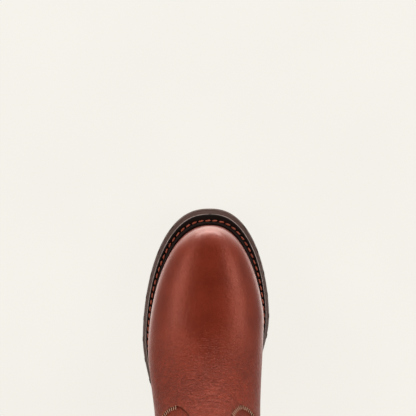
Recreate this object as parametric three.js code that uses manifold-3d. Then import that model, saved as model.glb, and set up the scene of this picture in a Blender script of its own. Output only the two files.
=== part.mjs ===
// Pull-on work boot for the left foot: a leather upper with a vamp, counter, side seams and
// pull straps, on a welted rubber outsole with a separate heel.
// Millimetres. +Z is up, +Y points to the toe and +X to the inner side of the foot.
// The floor is z = 0, and the boot's box is centred on the origin in X and Y.
import * as THREE from "three";
import { mergeVertices } from "three/addons/utils/BufferGeometryUtils.js";
import Module from "manifold-3d";

const wasm = await Module();
wasm.setup();

// Driving sizes of the sole
const LENGTH = 308; // outsole, heel to toe tip
const BALL_WIDTH = 114; // outsole at its widest
const HEEL_WIDTH = 82;
const HEEL_RISE = 26; // heel seat above the forefoot
const TOE_SPRING = 14; // lift of the outsole's tip
const OUTSOLE_THICK = 11.5; // at the ball, lugs included
const SHANK_THICK = 6.5; // outsole under the arch and over the heel
const LUG_DEPTH = 4.4;
const LUG_GAP = 4.4;
const LUG_PITCH = 19;
const HEEL_LENGTH = 82; // heel block, back to breast
const HEEL_TAPER = 3; // the heel's foot inside its top
const HEEL_RAKE = 6; // lean of the breast
const FLARE = 4.2; // how far the outsole's foot stands out past its top, at the toe
const WELT_THICK = 3.2;
const WELT_INSET = 0.5; // welt edge inside the outsole's top edge
const SEAM_INSET = 10.8; // sole stitching inside the outsole's foot, at the toe
const SEAM_WIDTH = 1.8;
const SEAM_DEPTH = 0.7;
const BEAD_RISE = 2.2; // storm bead above the welt
const WELT_REACH = 8; // how far the welt runs in under the upper
const INSOLE_THICK = 4;

// Driving sizes of the upper
const LAST_INSET = 8; // side of the last inside the outsole's edge, at the ball
const TOE_SETBACK = 15.6; // upper's tip behind the outsole's tip
const TOE_NOSE_RISE = 13; // the foremost point of the toe above the sole
const TOE_NOSE_LENGTH = 40; // depth of the toe's rounded front
const INSTEP_RISE = 125; // bend of the instep above the sole
const COLLAR_HEIGHT = 276; // top edge at the sides, above the floor
const COLLAR_DIP = 12; // how far the front and back of the collar drop
const WALL = 2; // shaft leather and lining
const OVERLAY = 1.8; // vamp, counter and seam leather
const BINDING = 1.2; // leather of the collar binding
const BINDING_HEIGHT = 8;
const SEAM_STRIP = 8; // width of the side seam strips
const STRAP_WIDTH = 25;
const STRAP_THICK = 2;
const STRAP_LEG = 40; // how far a pull strap runs down the shaft
const STRAP_LOOP = 17; // height of the loop above the collar
const STRAP_BULGE = 5;
const GAP = 0.3; // clearance between pieces that touch
const SEAT_GAP = 0.45; // clearance of the pieces that stand on the outsole

// The long axis of the last, inwards of the outsole's middle
const SPINE = (0.532 - 0.468) * 0.5 * BALL_WIDTH;
const LAST_WIDTH = BALL_WIDTH - 2 * LAST_INSET;

// Outsole edge: share of the length from the heel, distance from the spine as a share of the
// ball's width. The last row is the ball.
const EDGE_ROWS = {
  inner: [[0.4, 0.305], [0.682, 0.468]],
  outer: [[0.34, 0.38], [0.617, 0.532]],
};
// Rounded ends. ball: share of the length where one starts. fall: how soon it draws in.
// round: how blunt it ends, where 2 is an ellipse.
const ROUNDED = Object.fromEntries(
  [
    ["soleInner", 0.682, 1.85, 2.4],
    ["soleOuter", 0.617, 1.85, 2.4],
    ["heel", 0.125, 2.15, 2.15],
    ["lastInner", 0.685, 1.5, 2.25],
    ["lastOuter", 0.594, 1.9, 2.1],
    ["nose", 0, 2.3, 2.3],
  ].map(([name, ball, fall, round]) => [name, { ball, fall, round }]),
);
// The flare and the seam's inset along the sole, as shares of their sizes at the toe
const FLARE_ALONG = [[0, 0.3], [0.35, 0.3], [0.52, 0.66], [0.8, 0.7], [0.95, 0.9], [1, 1]];
const SEAM_ALONG = [[0, 0.54], [0.6, 0.54], [0.75, 0.57], [0.88, 0.68], [0.95, 0.82], [1, 1]];

// Height of the sole's top: at = share of the length, rise = share of the heel's rise
const SOLE_RISE = [
  [0, 1.04], [0.13, 1], [0.27, 0.9], [0.4, 0.55], [0.5, 0.22], [0.6, 0], [0.7, 0],
];
// Height of the toe's spring: share of the length, share of the spring
const SPRING_ROWS = [[0.715, 0], [1, 1]];
// Outsole thickness: at = share of the length, 0 is the shank's thickness and 1 the ball's
const SOLE_BODY = [[0.2, 0], [0.3, 0], [0.45, 0.1], [0.56, 0.8], [0.6, 1], [0.7, 1]];

// Sections of the last from toe to collar. Each lies in a plane through a front point on the
// crest and a back point on the sole or heel.
// frontAt, backAt: share of the length. frontRise, backRise: height above the sole's top there,
// where 1 is the instep's bend and 2 the collar. inner, outer: half widths as shares of the
// last's width. widest: where the width is reached, from front to back. crown, seat: roundness
// of the front and back halves, where 2 is an ellipse and more is squarer.
const SECTION_COLUMNS = [
  "frontAt", "frontRise", "backAt", "backRise", "inner", "outer", "widest", "crown", "seat",
];
const SECTIONS = [
  [0.957, 0.265, 0.957, -0.09, 0.4618, 0.5374, 0.54, 2.1, 2.5],
  [0.9, 0.29, 0.9, -0.096, 0.4618, 0.5374, 0.54, 2.1, 2.5],
  [0.8, 0.345, 0.8, -0.096, 0.4618, 0.5374, 0.56, 2.1, 2.5],
  [0.7, 0.41, 0.7, -0.096, 0.4618, 0.5374, 0.56, 2.05, 2.5],
  [0.6, 0.5, 0.6, -0.096, 0.4502, 0.5374, 0.55, 1.95, 2.5],
  [0.52, 0.6, 0.52, -0.096, 0.4304, 0.5118, 0.52, 1.9, 2.4],
  [0.475, 0.7, 0.4, -0.096, 0.4153, 0.4746, 0.5, 1.88, 2.9],
  [0.449, 0.808, 0.262, -0.096, 0.4095, 0.4513, 0.5, 1.88, 3.5],
  [0.434, 0.912, 0.135, -0.096, 0.4071, 0.4351, 0.5, 1.9, 3.9],
  [0.425, 1, 0.026, -0.09, 0.4095, 0.4304, 0.5, 1.95, 3.4],
  [0.419, 1.1, 0.012, 0.17, 0.4153, 0.4327, 0.5, 2, 2.4],
  [0.415, 1.28, 0.024, 0.48, 0.4304, 0.4467, 0.5, 2.05, 2.1],
  [0.413, 1.54, 0.036, 0.88, 0.4513, 0.4676, 0.5, 2.1, 2.05],
  [0.416, 1.84, 0.026, 1.42, 0.47, 0.4886, 0.5, 2.15, 2.15],
  [0.421, 2.14, 0.01, 2.04, 0.4793, 0.5002, 0.5, 2.2, 2.2],
].map((row) => Object.fromEntries(row.map((value, i) => [SECTION_COLUMNS[i], value])));

// Vamp edge: around = share from the crest (0) to the widest line (0.5) and the sole (1),
// to = the section that the vamp reaches. It has a tongue, a scoop at each side of it and a wing
// beyond, and ends at the arch.
const VAMP_EDGE = [
  [0, 9.15], [0.05, 9.05], [0.09, 8.5], [0.115, 7.4], [0.138, 6.42], [0.157, 6.15], [0.18, 5.96],
  [0.21, 5.87], [0.25, 5.93], [0.3, 6.08], [0.35, 6.3], [0.4, 6.58], [0.44, 6.8], [0.5, 6.95],
  [0.62, 6.65], [0.8, 6.5], [1, 6.5],
];
// Counter's top edge from the vamp round to the back, as [around, section]
const COUNTER_EDGE = [[0.53, 8.2], [0.56, 9.3], [0.64, 9.95], [0.76, 10.35], [0.88, 10.65], [1, 10.8]];

const cap = (ratio, { fall, round }) =>
  (1 - Math.min(1, Math.max(0, ratio)) ** fall) ** (1 / round);
const mix = (a, b, t) => a + (b - a) * t;
const yOf = (at) => (at - 0.5) * LENGTH;
const atOf = (y) => y / LENGTH + 0.5;

// A smooth curve through rows of [at, value] that never passes beyond its rows.
function track(rows) {
  const rate = (i) => (rows[i + 1][1] - rows[i][1]) / (rows[i + 1][0] - rows[i][0]);
  const slopes = rows.map((_, i) => {
    const [a, b] = [rate(Math.max(0, i - 1)), rate(Math.min(rows.length - 2, i))];
    return a * b <= 0 ? 0 : (2 * a * b) / (a + b);
  });
  return (at) => {
    if (at <= rows[0][0]) return rows[0][1];
    if (at >= rows.at(-1)[0]) return rows.at(-1)[1];
    const i = rows.findIndex((row) => row[0] > at) - 1;
    const step = rows[i + 1][0] - rows[i][0];
    const t = (at - rows[i][0]) / step;
    return (
      rows[i][1] * (1 + 2 * t) * (1 - t) ** 2 +
      rows[i + 1][1] * (3 - 2 * t) * t ** 2 +
      step * (slopes[i] * t * (1 - t) ** 2 - slopes[i + 1] * t ** 2 * (1 - t))
    );
  };
}

const soleRise = track(SOLE_RISE);
const soleBody = track(SOLE_BODY);
const spring = (at) => {
  const [[from], [to]] = SPRING_ROWS;
  return Math.max(0, (at - from) / (to - from)) ** 2;
};
const soleTop = (y) =>
  OUTSOLE_THICK + HEEL_RISE * soleRise(atOf(y)) + TOE_SPRING * spring(atOf(y));
const flareAlong = track(FLARE_ALONG);
const seamAlong = track(SEAM_ALONG);
const soleThick = (y) => mix(SHANK_THICK, OUTSOLE_THICK, soleBody(atOf(y)));
const soleBottom = (y) => soleTop(y) - soleThick(y);

// Closed solid from points and triangles, with shared points merged and its faces turned out.
function solidOf(points, triangles) {
  const loose = new THREE.BufferGeometry()
    .setAttribute("position", new THREE.Float32BufferAttribute(points.flatMap((p) => [...p]), 3))
    .setIndex(triangles.flat());
  return solidOfGeometry(loose);
}

function solidOfGeometry(geometry) {
  geometry.deleteAttribute("normal");
  geometry.deleteAttribute("uv");
  const merged = mergeVertices(geometry, 1e-4);
  const index = [...merged.index.array];
  const faces = [];
  for (let i = 0; i < index.length; i += 3) {
    const [a, b, c] = index.slice(i, i + 3);
    if (a !== b && b !== c && c !== a) faces.push([a, b, c]);
  }
  const build = (list) =>
    new wasm.Manifold(
      new wasm.Mesh({
        numProp: 3,
        vertProperties: merged.attributes.position.array,
        triVerts: new Uint32Array(list.flat()),
      }),
    );
  const made = build(faces);
  return made.volume() < 0 ? build(faces.map(([a, b, c]) => [a, c, b])) : made;
}

// Quads between two rows of a grid, as triangles.
function band(first, second, count, wrap) {
  const made = [];
  for (let j = 0; j < (wrap ? count : count - 1); j++) {
    const next = (j + 1) % count;
    made.push([first + j, first + next, second + next], [first + j, second + next, second + j]);
  }
  return made;
}

// The outsole's edge on one side, as x at a share of the length.
function edgeAt(side, at) {
  const toe = side === "inner" ? ROUNDED.soleInner : ROUNDED.soleOuter;
  const heel = HEEL_WIDTH / 2;
  const waist = EDGE_ROWS[side].map(([place, share]) => [place, share * BALL_WIDTH]);
  const sides = track([[0, heel], [ROUNDED.heel.ball, heel], ...waist, [1, waist.at(-1)[1]]]);
  let width = sides(at);
  if (at > toe.ball) width *= cap((at - toe.ball) / (1 - toe.ball), toe);
  if (at < ROUNDED.heel.ball) width *= cap(1 - at / ROUNDED.heel.ball, ROUNDED.heel);
  return SPINE + (side === "inner" ? width : -width);
}

// Points round the outsole's edge from the heel by the inner side to the toe and back.
const STATIONS = 34;
const EDGE_LOOP = (() => {
  const share = (i) => 0.5 - 0.5 * Math.cos((Math.PI * i) / STATIONS);
  const loop = [];
  for (let i = 0; i <= STATIONS; i++) {
    loop.push(new THREE.Vector2(edgeAt("inner", share(i)), yOf(share(i))));
  }
  for (let i = STATIONS - 1; i > 0; i--) {
    loop.push(new THREE.Vector2(edgeAt("outer", share(i)), yOf(share(i))));
  }
  return loop;
})();
const EDGE_NORMALS = EDGE_LOOP.map((_, i) => {
  const n = EDGE_LOOP.length;
  const along = EDGE_LOOP[(i + 1) % n].clone().sub(EDGE_LOOP[(i + n - 1) % n]).normalize();
  return new THREE.Vector2(along.y, -along.x);
});
const edgeInset = (i, inset) =>
  EDGE_LOOP[i].clone().addScaledVector(EDGE_NORMALS[i], -inset);

// Solid with the sole's outline: rows of [inset(y), height(y)] from bottom to top.
function soleLoft(rows) {
  const n = EDGE_LOOP.length;
  const points = [];
  for (const [inset, height] of rows) {
    for (let i = 0; i < n; i++) {
      const p = edgeInset(i, inset(EDGE_LOOP[i].y));
      points.push([p.x, p.y, height(p.y)]);
    }
  }
  const faces = [];
  for (let r = 0; r + 1 < rows.length; r++) faces.push(...band(r * n, (r + 1) * n, n, true));
  const top = (rows.length - 1) * n;
  for (let i = 0; i < n / 2; i++) {
    const [a, b] = [i, i + 1];
    const [c, d] = [(n - i) % n, n - i - 1];
    faces.push([a, c, d], [a, d, b]);
    faces.push([top + a, top + d, top + c], [top + a, top + b, top + d]);
  }
  return solidOf(points, faces);
}

// Everything under a line z = height(y), far past both sides of the boot.
function below(height) {
  const [fromAt, toAt, steps] = [-0.1, 1.1, 44];
  const shape = new THREE.Shape();
  const floor = -60;
  shape.moveTo(yOf(fromAt), floor);
  for (let i = 0; i <= steps; i++) {
    const y = yOf(mix(fromAt, toAt, i / steps));
    shape.lineTo(y, height(y));
  }
  shape.lineTo(yOf(toAt), floor);
  return acrossBoot(shape);
}

// A side view shape of (y, z), extruded across the boot.
function acrossBoot(shape) {
  const reach = 2 * BALL_WIDTH;
  const geometry = new THREE.ExtrudeGeometry(shape, { depth: reach, bevelEnabled: false });
  const axes = new THREE.Matrix4().makeBasis(
    new THREE.Vector3(0, 1, 0),
    new THREE.Vector3(0, 0, 1),
    new THREE.Vector3(1, 0, 0),
  );
  return solidOfGeometry(geometry.applyMatrix4(axes).translate(-reach / 2, 0, 0));
}

// A plan shape of (x, y), extruded through the whole height.
function throughBoot(shape) {
  const reach = 2 * COLLAR_HEIGHT;
  const geometry = new THREE.ExtrudeGeometry(shape, { depth: reach, bevelEnabled: false });
  return solidOfGeometry(geometry.translate(0, 0, -reach / 2));
}

// Sizes of the last's section at a place p between two rows of the table.
const COLUMN = Object.fromEntries(
  SECTION_COLUMNS.map((name) => [name, track(SECTIONS.map((row, i) => [i, row[name]]))]),
);
const LAST_SECTION = SECTIONS.length - 1;
const TIP_Y = yOf(1) - TOE_SETBACK;
const TIP_Z = soleTop(TIP_Y) + TOE_NOSE_RISE;

const riseHeight = (rise) =>
  rise <= 1 ? rise * INSTEP_RISE : mix(INSTEP_RISE, COLLAR_HEIGHT - soleTop(yOf(0.42)), rise - 1);

// The first section lies at the tip, wherever the setback puts it.
function placeOf(at, p) {
  const y = yOf(at);
  return p >= 1 ? y : mix(TIP_Y, yOf(SECTIONS[1].frontAt), (y - yOf(SECTIONS[0].frontAt)) /
    (yOf(SECTIONS[1].frontAt) - yOf(SECTIONS[0].frontAt)));
}

function sectionAt(p) {
  const s = Object.fromEntries(SECTION_COLUMNS.map((name) => [name, COLUMN[name](p)]));
  const frontY = placeOf(s.frontAt, p);
  const backY = placeOf(s.backAt, p);
  const nose = cap(1 - (TIP_Y - frontY) / TOE_NOSE_LENGTH, ROUNDED.nose);
  const width = (share, toe) =>
    share * LAST_WIDTH * cap((frontY - yOf(toe.ball)) / (TIP_Y - yOf(toe.ball)), toe);
  return {
    frontY,
    backY,
    frontZ: mix(TIP_Z, soleTop(frontY) + riseHeight(s.frontRise), nose),
    backZ: mix(TIP_Z, soleTop(backY) + riseHeight(s.backRise), nose),
    inner: width(s.inner, ROUNDED.lastInner),
    outer: width(s.outer, ROUNDED.lastOuter),
    widest: s.widest,
    crown: s.crown,
    seat: s.seat,
  };
}

// A point of the last's surface. p runs over the sections, u round one of them: 0 is the crest,
// 0.5 the inner side, 1 or -1 the back and -0.5 the outer side.
function lastPoint(p, u) {
  const s = sectionAt(p);
  const turn = Math.abs(u > 1 ? u - 2 : u < -1 ? u + 2 : u);
  const inwards = u > 1 ? false : u < -1 ? true : u >= 0;
  const angle = turn * Math.PI;
  const front = angle < Math.PI / 2;
  const round = front ? s.crown : s.seat;
  const across = Math.abs(Math.sin(angle)) ** (2 / round);
  const along = Math.abs(Math.cos(angle)) ** (2 / round);
  const depth = front ? s.widest * (1 - along) : s.widest + (1 - s.widest) * along;
  const width = inwards ? s.inner : -s.outer;
  return new THREE.Vector3(
    SPINE + width * across,
    mix(s.frontY, s.backY, depth),
    mix(s.frontZ, s.backZ, depth),
  );
}

function lastNormal(p, u) {
  const step = 2e-3;
  const q = Math.min(LAST_SECTION - step, Math.max(0.02, p));
  const alongP = lastPoint(q + step, u).sub(lastPoint(q - step, u));
  const alongU = lastPoint(q, u + step).sub(lastPoint(q, u - step));
  return alongP.cross(alongU).normalize();
}

// The last's surface moved outwards.
function outFrom(p, u, out) {
  if (p === 0) return new THREE.Vector3(SPINE, TIP_Y + out, TIP_Z);
  return lastPoint(p, u).addScaledVector(lastNormal(p, u), out);
}

// Places of the sections, closest at the toe's round front.
const TOE_STEPS = 6;
const FORM_STATIONS = [
  ...Array.from({ length: TOE_STEPS }, (_, i) => (i / TOE_STEPS) ** 1.8),
  ...[1, 1.45, 2, 2.7, 3.4, 4.2, 5, 5.5, 6, 6.5, 7, 7.6, 8.2, 8.7, 9.1, 9.5, 10, 10.5],
  ...[11, 12, 13, 13.5, 14],
];
const AROUND = 28;

// The whole last as a closed solid, moved outwards.
function form(out) {
  const points = FORM_STATIONS.flatMap((p) =>
    Array.from({ length: AROUND }, (_, j) => outFrom(p, (2 * j) / AROUND - 1, out)),
  );
  const faces = FORM_STATIONS.slice(1).flatMap((_, i) =>
    band(i * AROUND, (i + 1) * AROUND, AROUND, true),
  );
  const rim = (FORM_STATIONS.length - 1) * AROUND;
  for (let j = 1; j + 1 < AROUND; j++) faces.push([rim, rim + j, rim + j + 1]);
  return solidOf(points, faces);
}

// A sheet of leather laid on the last: rows of [p, u] places, between two distances outwards.
function sheet(rows, outside, inside, wrap) {
  const count = rows[0].length;
  const points = [outside, inside].flatMap((out) =>
    rows.flatMap((row) => row.map(([p, u]) => outFrom(p, u, out))),
  );
  const half = rows.length * count;
  const faces = [];
  for (let i = 0; i + 1 < rows.length; i++) {
    faces.push(...band(i * count, (i + 1) * count, count, wrap));
    faces.push(
      ...band(half + i * count, half + (i + 1) * count, count, wrap).map(([a, b, c]) => [a, c, b]),
    );
    if (wrap) continue;
    for (const [side, turned] of [[0, false], [count - 1, true]]) {
      const [a, b] = [i * count + side, (i + 1) * count + side];
      const quad = [[a, b, half + b], [a, half + b, half + a]];
      faces.push(...(turned ? quad.map(([x, y, z]) => [x, z, y]) : quad));
    }
  }
  for (const [row, turned] of [[0, true], [rows.length - 1, false]]) {
    const made = band(row * count, half + row * count, count, wrap);
    faces.push(...(turned ? made.map(([a, b, c]) => [a, c, b]) : made));
  }
  return solidOf(points, faces);
}

const underUpper = below((y) => soleTop(y) + SEAT_GAP);
// Height of the collar's edge: highest at the sides, dipping to the front and back.
function collarHeight(y) {
  const [front, back] = [yOf(SECTIONS.at(-1).frontAt), yOf(SECTIONS.at(-1).backAt)];
  const ratio = (y - (front + back) / 2) / ((front - back) / 2);
  return COLLAR_HEIGHT - COLLAR_DIP * Math.min(1.2, ratio ** 2);
}

const base = form(0);
const clear = form(GAP);
const insideWelt = form(OVERLAY + 3 * GAP);

function makeUpper() {
  const inside = form(-WALL);
  return base.subtract(inside).subtract(underUpper).intersect(below(collarHeight));
}

const VAMP_AROUND = [
  ...[0, 0.05, 0.09, 0.115, 0.138, 0.157, 0.18, 0.21, 0.25, 0.3, 0.35, 0.4, 0.44, 0.5],
  ...[0.6, 0.73, 0.86],
];

function makeVamp() {
  const edge = track(VAMP_EDGE);
  const around = [...VAMP_AROUND.slice(1).reverse().map((u) => -u), ...VAMP_AROUND, 1];
  const last = 5;
  const rows = FORM_STATIONS.filter((p) => p <= last).map((p) => around.map((u) => [p, u]));
  for (const share of [0.33, 0.66, 1]) {
    rows.push(around.map((u) => [mix(last, edge(Math.abs(u)), share), u]));
  }
  return sheet(rows, GAP + OVERLAY, -WALL / 2, true).subtract(clear).subtract(underUpper);
}

const SEAM_SHARE = 0.035; // gap between vamp and counter, in sections
const COUNTER_AROUND = [0.53, 0.55, 0.59, 0.65, 0.72, 0.8, 0.87, 0.94];

function makeCounter() {
  const [top, vamp] = [track(COUNTER_EDGE), track(VAMP_EDGE)];
  const around = [...COUNTER_AROUND, 1, ...COUNTER_AROUND.map((u) => 2 - u).reverse()];
  const rows = [0, 0.18, 0.36, 0.52, 0.68, 0.84, 1].map((share) =>
    around.map((u) => {
      const v = Math.min(u, 2 - u);
      return [mix(vamp(v) + SEAM_SHARE, top(v), share), u];
    }),
  );
  return sheet(rows, GAP + OVERLAY, -WALL / 2, false).subtract(clear).subtract(underUpper);
}

// Where a rising function of a place reaches zero.
function solve(from, to, value) {
  let [low, high] = [from, to];
  for (let i = 0; i < 16; i++) {
    const middle = (low + high) / 2;
    if (value(middle) < 0) low = middle;
    else high = middle;
  }
  return (low + high) / 2;
}

// Section of the surface that has a given height at a place round it.
function sectionAtHeight(u, out, height) {
  return solve(7, LAST_SECTION, (p) => {
    const here = outFrom(p, u, out);
    return here.z - height(here.y);
  });
}

// The place on the shaft's side with a given y and z.
function sidePlace(sign, y, z) {
  const place = (back) => [sectionAtHeight(back * sign, 0, () => z), back * sign];
  return place(solve(0.3, 0.75, (back) => y - lastPoint(...place(back)).y));
}

const SIDE_Y = lastPoint(LAST_SECTION - 0.5, 0.5).y;

// Strip over the seam on one side of the shaft, from the counter to the collar's binding.
function makeSideSeam(sign) {
  const top = track(COUNTER_EDGE);
  const start = solve(0.53, 0.8, (u) => SIDE_Y - lastPoint(top(u), u * sign).y);
  const from = lastPoint(top(start), start * sign).z + OVERLAY;
  const to = collarHeight(SIDE_Y) - BINDING_HEIGHT - GAP;
  const steps = 10;
  const rows = Array.from({ length: steps + 1 }, (_, i) => {
    const z = mix(from, to, i / steps);
    return [-0.5, 0, 0.5].map((k) => sidePlace(sign, SIDE_Y + k * SEAM_STRIP, z));
  });
  return sheet(rows, GAP + OVERLAY, GAP, false);
}

// Folded leather over the collar's edge: a profile of [out, up] carried round the collar.
function makeBinding() {
  const [near, far] = [GAP, GAP + BINDING];
  const profile = [
    [near, -BINDING_HEIGHT], [far, -BINDING_HEIGHT], [far, far * 0.4], [far * 0.4, far],
    [-WALL - far * 0.4, far], [-WALL - far, far * 0.4], [-WALL - far, -BINDING_HEIGHT],
    [-WALL - near, -BINDING_HEIGHT], [-WALL - near, near], [near, near],
  ];
  const count = profile.length;
  const points = [];
  const faces = [];
  for (let j = 0; j < AROUND; j++) {
    const u = (2 * j) / AROUND - 1;
    for (const [out, up] of profile) {
      const p = sectionAtHeight(u, out, (y) => collarHeight(y) + up);
      points.push(outFrom(p, u, out));
    }
    faces.push(...band(j * count, ((j + 1) % AROUND) * count, count, true));
  }
  return solidOf(points, faces);
}

// Strap that runs up the outside, loops over the collar and runs down the inside.
function makePullStrap(sign) {
  const middle = -WALL / 2;
  const clearOf = WALL / 2 + 2 * GAP + Math.max(BINDING, OVERLAY) + STRAP_THICK / 2;
  const path = [];
  const legSteps = 2;
  const loopSteps = 12;
  for (let i = 0; i < legSteps; i++) path.push([clearOf, mix(-STRAP_LEG, 0, i / legSteps)]);
  for (let i = 0; i <= loopSteps; i++) {
    const a = (Math.PI * i) / loopSteps;
    path.push([Math.cos(a) * (clearOf + STRAP_BULGE * Math.sin(a)), STRAP_LOOP * Math.sin(a)]);
  }
  for (let i = legSteps - 1; i >= 0; i--) {
    path.push([-clearOf, mix(-STRAP_LEG * 0.6, 0, i / legSteps)]);
  }
  const faces = [];
  const points = [];
  const columns = 3;
  path.forEach(([out, up], i) => {
    const before = path[Math.max(0, i - 1)];
    const after = path[Math.min(path.length - 1, i + 1)];
    const along = new THREE.Vector2(after[0] - before[0], after[1] - before[1]).normalize();
    for (const face of [0.5, -0.5]) {
      for (let k = 0; k < columns; k++) {
        const y = SIDE_Y + STRAP_WIDTH * (k / (columns - 1) - 0.5);
        const z = COLLAR_HEIGHT + Math.min(0, up);
        const wall = lastPoint(...sidePlace(sign, y, z));
        const shift = middle + out + face * STRAP_THICK * along.y;
        points.push([wall.x + sign * shift, y, COLLAR_HEIGHT + up - face * STRAP_THICK * along.x]);
      }
    }
  });
  // One ring of points for each place on the path: the outer face, then the inner one.
  const ring = (i) => {
    const first = i * 2 * columns;
    const outer = Array.from({ length: columns }, (_, k) => first + k);
    const inner = Array.from({ length: columns }, (_, k) => first + 2 * columns - 1 - k);
    return [...outer, ...inner];
  };
  for (let i = 0; i + 1 < path.length; i++) {
    const [a, b] = [ring(i), ring(i + 1)];
    for (let j = 0; j < a.length; j++) {
      const next = (j + 1) % a.length;
      faces.push([a[j], a[next], b[next]], [a[j], b[next], b[j]]);
    }
  }
  for (const [end, turned] of [[ring(0), true], [ring(path.length - 1), false]]) {
    for (let k = 0; k + 1 < columns; k++) {
      const quad = [end[k], end[k + 1], end[2 * columns - 2 - k], end[2 * columns - 1 - k]];
      const [a, b, c, d] = turned ? [...quad].reverse() : quad;
      faces.push([a, b, c], [a, c, d]);
    }
  }
  return solidOf(points, faces);
}

function makeInsole() {
  const top = below((y) => soleTop(y) + SEAT_GAP + INSOLE_THICK);
  return form(-WALL - GAP).intersect(top).subtract(underUpper);
}

// Storm welt round the forefoot and arch, with a channel for the sole's stitching and a bead
// against the upper.
function makeWelt() {
  const edge = (y) => FLARE * flareAlong(atOf(y)) + WELT_INSET;
  const seam = (y) => SEAM_INSET * seamAlong(atOf(y));
  const [half, rise] = [SEAM_WIDTH / 2, WELT_THICK + BEAD_RISE];
  const profile = [
    [edge, 0, GAP], [edge, 0, WELT_THICK - 0.5], [edge, 0.5, WELT_THICK],
    [seam, -half, WELT_THICK], [seam, -half / 2, WELT_THICK - SEAM_DEPTH],
    [seam, half / 2, WELT_THICK - SEAM_DEPTH], [seam, half, WELT_THICK],
    [seam, half + BEAD_RISE * 0.27, rise - BEAD_RISE * 0.27], [seam, half + BEAD_RISE * 0.68, rise],
    [seam, half + WELT_REACH, rise], [seam, half + WELT_REACH, GAP],
  ];
  const n = EDGE_LOOP.length;
  const breast = yOf(0) + HEEL_LENGTH;
  const path = [];
  for (let i = 0; i < n; i++) if (EDGE_LOOP[i].y > breast) path.push(i);
  const count = profile.length;
  const points = path.flatMap((i) =>
    profile.map(([line, inset, height]) => {
      const p = edgeInset(i, line(EDGE_LOOP[i].y) + inset);
      return [p.x, p.y, soleTop(p.y) + height];
    }),
  );
  const faces = path.slice(1).flatMap((_, i) => band(i * count, (i + 1) * count, count, true));
  const contour = profile.map(
    ([line, inset, height]) => new THREE.Vector2(line(breast) + inset, height),
  );
  const turned = (...corners) =>
    THREE.ShapeUtils.area(corners.map((i) => contour[i])) * THREE.ShapeUtils.area(contour) < 0;
  const end = (path.length - 1) * count;
  for (const [a, b, c] of THREE.ShapeUtils.triangulateShape(contour, [])) {
    const [d, e] = turned(a, b, c) ? [b, c] : [c, b];
    faces.push([a, d, e], [end + a, end + e, end + d]);
  }
  return solidOf(points, faces).subtract(insideWelt);
}

// Channels between the lugs: chevrons across the forefoot and two lines along it.
function lugChannels() {
  const cuts = [];
  const [from, to] = [yOf(0.53), yOf(1) - 10];
  const half = BALL_WIDTH;
  const slope = 0.22;
  for (let y = from; y < to; y += LUG_PITCH) {
    const shape = new THREE.Shape();
    shape.moveTo(SPINE, y);
    shape.lineTo(SPINE + half, y - slope * half);
    shape.lineTo(SPINE + half, y - slope * half + LUG_GAP);
    shape.lineTo(SPINE, y + LUG_GAP);
    shape.lineTo(SPINE - half, y - slope * half + LUG_GAP);
    shape.lineTo(SPINE - half, y - slope * half);
    cuts.push(throughBoot(shape));
  }
  for (const side of [-1, 1]) {
    const x = SPINE + side * BALL_WIDTH * 0.17;
    const shape = new THREE.Shape();
    shape.moveTo(x - LUG_GAP / 2, from);
    shape.lineTo(x + LUG_GAP / 2, from);
    shape.lineTo(x + LUG_GAP / 2, to);
    shape.lineTo(x - LUG_GAP / 2, to);
    cuts.push(throughBoot(shape));
  }
  return wasm.Manifold.union(cuts).intersect(below((y) => soleBottom(y) + LUG_DEPTH));
}

// Height between the outsole's bottom and top.
const soleLevel = (share) => (y) => mix(soleBottom(y), soleTop(y), share);

function makeOutsole() {
  const inset = (flared, more) => (y) => flared * FLARE * flareAlong(atOf(y)) + more;
  return soleLoft([
    [inset(0, 1.2), soleLevel(0)], [inset(0, 0), soleLevel(0.09)],
    [inset(0.25, 0), soleLevel(0.5)], [inset(0.25, 0.8), soleLevel(0.53)],
    [inset(0.3, 0.8), soleLevel(0.6)], [inset(0.35, 0), soleLevel(0.63)],
    [inset(0.95, 0), soleLevel(0.97)], [inset(1, 0.3), soleLevel(1)],
  ]).subtract(lugChannels());
}

function makeHeel() {
  const level = (share) => (y) => mix(0, soleBottom(y) - GAP, share);
  const inset = (taper, more) => () => taper * HEEL_TAPER + more;
  const block = soleLoft([
    [inset(1, 1), level(0)], [inset(1, 0), level(0.05)], [inset(0.7, 0), level(0.26)],
    [inset(0.7, 0.7), level(0.28)], [inset(0.7, 0.7), level(0.31)], [inset(0.66, 0), level(0.33)],
    [inset(0.2, 0), level(0.95)], [inset(0.2, 0.4), level(1)],
  ]);
  const breast = new THREE.Shape();
  const [y, top] = [yOf(0) + HEEL_LENGTH, soleTop(yOf(0))];
  breast.moveTo(y - HEEL_RAKE, -1);
  breast.lineTo(yOf(1.1), -1);
  breast.lineTo(yOf(1.1), 2 * top);
  breast.lineTo(y + 2, 2 * top);
  breast.lineTo(y, top - SHANK_THICK);
  const cuts = [];
  for (let line = yOf(0) + LUG_PITCH; line < y - LUG_GAP * 2; line += LUG_PITCH) {
    const shape = new THREE.Shape();
    shape.moveTo(SPINE - HEEL_WIDTH, line);
    shape.lineTo(SPINE + HEEL_WIDTH, line);
    shape.lineTo(SPINE + HEEL_WIDTH, line + LUG_GAP);
    shape.lineTo(SPINE - HEEL_WIDTH, line + LUG_GAP);
    cuts.push(throughBoot(shape));
  }
  const channels = wasm.Manifold.union(cuts).intersect(below(() => LUG_DEPTH));
  return block.subtract(acrossBoot(breast)).subtract(channels);
}

// Colours and finishes
const finish = (color, roughness) =>
  new THREE.MeshStandardMaterial({ color, roughness, metalness: 0 });
const redLeather = finish(0x7d2e20, 0.42);
const bindingLeather = finish(0x6a2619, 0.5);
const darkRubber = finish(0x3a2c29, 0.7);
const weltRubber = finish(0x211713, 0.6);
const footbedLeather = finish(0xb08a62, 0.8);

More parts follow.
